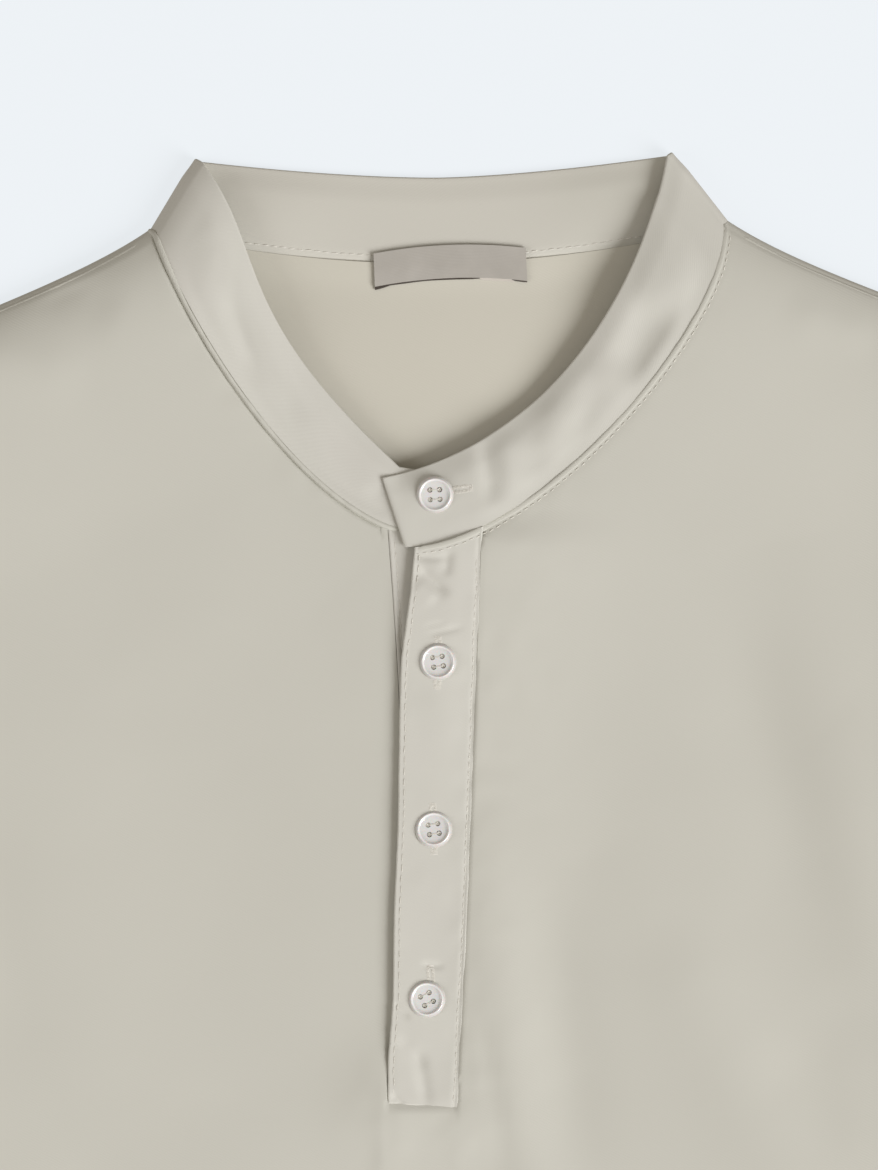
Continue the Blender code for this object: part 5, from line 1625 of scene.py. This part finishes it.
# The inner band's lower edge, stitched down behind the neck.
lower_edge = np.concatenate((back_neck(RIGHT, np.linspace(0.9, 0.0, 80)),
                             back_neck(LEFT, np.linspace(0.0, 0.9, 80)[1:])))
points, ups = seated(lower_edge + (0.0, 2.0), [BAND])
behind = points[:, 2] < 4.0     # short of the shoulder folds
stitches("back_band_stitches", points[behind], ups[behind], THREAD, pitch=2.7, thread=0.17, sunk=0.12,
         seed=77)

# Stitches down both edges of the over placket, and down the under placket.
levels = np.linspace(-99.0, -266.0, 220)
free_x = x_at_level(PLACKET_EDGE_RIGHT, levels) + 1.8 + np.interp(levels, *FREE_EDGE_STRAYS)
sewn_levels = levels - 1.8
sewn_x = x_at_level(PLACKET_EDGE_LEFT, sewn_levels) - 1.5
sewn_x += 0.22 * unevenness(levels, levels * 0.0, 9.0, 91)
for name, x, y, pitch in (("placket_stitches_free", free_x, levels, 3.3),
                          ("placket_stitches_sewn", sewn_x, sewn_levels, 2.7)):
    points, ups = seated(np.stack((x, y), axis=1), [OVER])
    stitches(name, points, ups, THREAD, pitch=pitch, thread=0.12, sunk=0.05, seed=len(name))
levels = np.linspace(-95.0, -256.0, 160)
points, ups = seated(np.stack((x_at_level(SLIT[RIGHT], levels) + 1.9, levels), axis=1), [UNDER])
stitches("placket_stitches_under", points, ups, THREAD, thread=0.13, sunk=0.08, seed=5)

# Shoulder and armhole seams, and the double rows that hold the hems.
for side, name in SIDE_NAMES.items():
    shares = np.linspace(0.03, 0.985, 160)
    outward = mirrored(across(edge_direction(shoulder_edge, shares)), side)
    row = mirrored(shoulder_edge(shares), side) - outward * 2.0
    points, ups = seated(row, [FRONT], rise=-0.12)
    seam_cord("shoulder_seam_" + name, eased(points, 3), ups, COTTON, 0.6, 0.3, 81 + side)
    shares = np.linspace(0.02, 0.98, 200)
    line, towards_sleeve = mirrored(armhole_edge(shares), side), mirrored(sleeveward(shares), side)
    points, ups = seated(line - towards_sleeve * 1.1, [FRONT], rise=-0.12)
    seam_cord("armhole_seam_" + name, eased(points, 3), ups, COTTON, 0.65, 0.34, 84 + side)
    points, ups = seated(line - towards_sleeve * 3.6, [FRONT])
    stitches("armhole_stitches_" + name, points, ups, THREAD, seed=87 + side)
    for number, row_reach in enumerate(HEM_ROWS):
        shares = np.linspace(0.03, 0.97, 120)
        way = unit(SLEEVE_HEM_UNDER - SLEEVE_HEM_TOP)
        row = bowed(SLEEVE_HEM_TOP, SLEEVE_HEM_UNDER, shares, SLEEVE_HEM_BOW) - across(way) * row_reach
        points, ups = seated(mirrored(row, side), SLEEVES)
        stitches(f"sleeve_hem_stitches_{name}_{number + 1}", points, ups, THREAD, seed=91 + number)
for number, row_reach in enumerate(HEM_ROWS):
    x = np.linspace(-HEM_HALF + 4.0, HEM_HALF - 4.0, 320)
    row = np.stack((x, -BODY_LENGTH + HEM_RISE * (x / HEM_HALF) ** 2 + row_reach), axis=1)
    points, ups = seated(row, [FRONT])
    stitches(f"hem_stitches_{number + 1}", points, ups, THREAD, seed=95 + number)

for entry in BUTTONS:
    button_thread(entry, button(entry))

for entry in BUTTONHOLES:
    buttonhole(entry, [BAND, OVER])

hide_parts("front")
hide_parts("back")
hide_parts("sleeve_left")
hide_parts("sleeve_right")
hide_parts("band_outer", "band_inner")
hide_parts("placket_over")
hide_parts("placket_under")
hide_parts("neck_label")


# ---------------------------------------------------------------- table, light and camera

def pale_table():
    """A light table: a large sheet of opal acrylic, lit evenly from below, that shadows hardly mark."""
    material, _, _ = new_material(
        "opal_acrylic_table", Base_Color=hex_colour("#5c5e60"), Roughness=0.7, IOR=1.49,
        Emission_Color=hex_colour("#eff4f8"), Emission_Strength=0.85)
    mesh = bpy.data.meshes.new("pale_table")
    half = 3.0                              # in metres
    corners = [(-half, -half, 0), (half, -half, 0), (half, half, 0), (-half, half, 0)]
    mesh.from_pydata(corners, [], [(0, 1, 2, 3)])
    mesh.materials.append(material)
    table = linked("pale_table", mesh)
    table.location.z = -0.1 * MM
    table.visible_diffuse = False           # the cloth is lit by the lamps and the room alone


def soft_light(name, place, size, power, colour):
    """A round softbox that is aimed at the collar."""
    lamp = bpy.data.lights.new(name, "AREA")
    lamp.shape, lamp.size, lamp.energy = "DISK", size, power
    lamp.color = hex_colour(colour)[:3]
    holder = linked(name, lamp)
    holder.location = place
    holder.rotation_euler = (COLLAR_PLACE - Vector(place)).to_track_quat("-Z", "Y").to_euler()


def over_collar(azimuth, elevation, distance):
    """A place above the collar, in that direction from it."""
    a, e = math.radians(azimuth), math.radians(elevation)
    return (distance * math.cos(e) * math.cos(a), COLLAR_PLACE.y + distance * math.cos(e) * math.sin(a),
            distance * math.sin(e))


COLLAR_PLACE = Vector((0.0, 0.25, 0.0))     # in metres
pale_table()
soft_light("key_softbox", over_collar(-32.0, 33.0, 9.0), 5.4, 865.0, "#fcfcff")
soft_light("fill_softbox", over_collar(195.0, 30.0, 2.2), 1.4, 12.0, "#fdfdff")

world = bpy.data.worlds.new("studio")
bpy.context.scene.world = world
world.use_nodes = True
world.node_tree.nodes["Background"].inputs["Color"].default_value = hex_colour("#fff4e6")
world.node_tree.nodes["Background"].inputs["Strength"].default_value = 0.32

# Straight down over the collar, turned with the shirt's slight lean: 360 mm of cloth top to bottom.
VIEW_CENTRE = spot(-1.63, -108.8)
VIEW_LONG_SIDE = 360.0
LENS, SENSOR = 135.0, 36.0
CLOTH_LEVEL = 6.0
camera_data = bpy.data.cameras.new("camera")
camera_data.lens, camera_data.sensor_width = LENS, SENSOR
camera = linked("camera", camera_data)
camera.location = (VIEW_CENTRE[0] * MM, (VIEW_CENTRE[1] + ORIGIN_Y) * MM,
                   (VIEW_LONG_SIDE * LENS / SENSOR + CLOTH_LEVEL) * MM)
camera.rotation_euler = (0.0, 0.0, math.radians(-0.78))
bpy.context.scene.camera = camera
bpy.context.scene.view_settings.view_transform = "Standard"
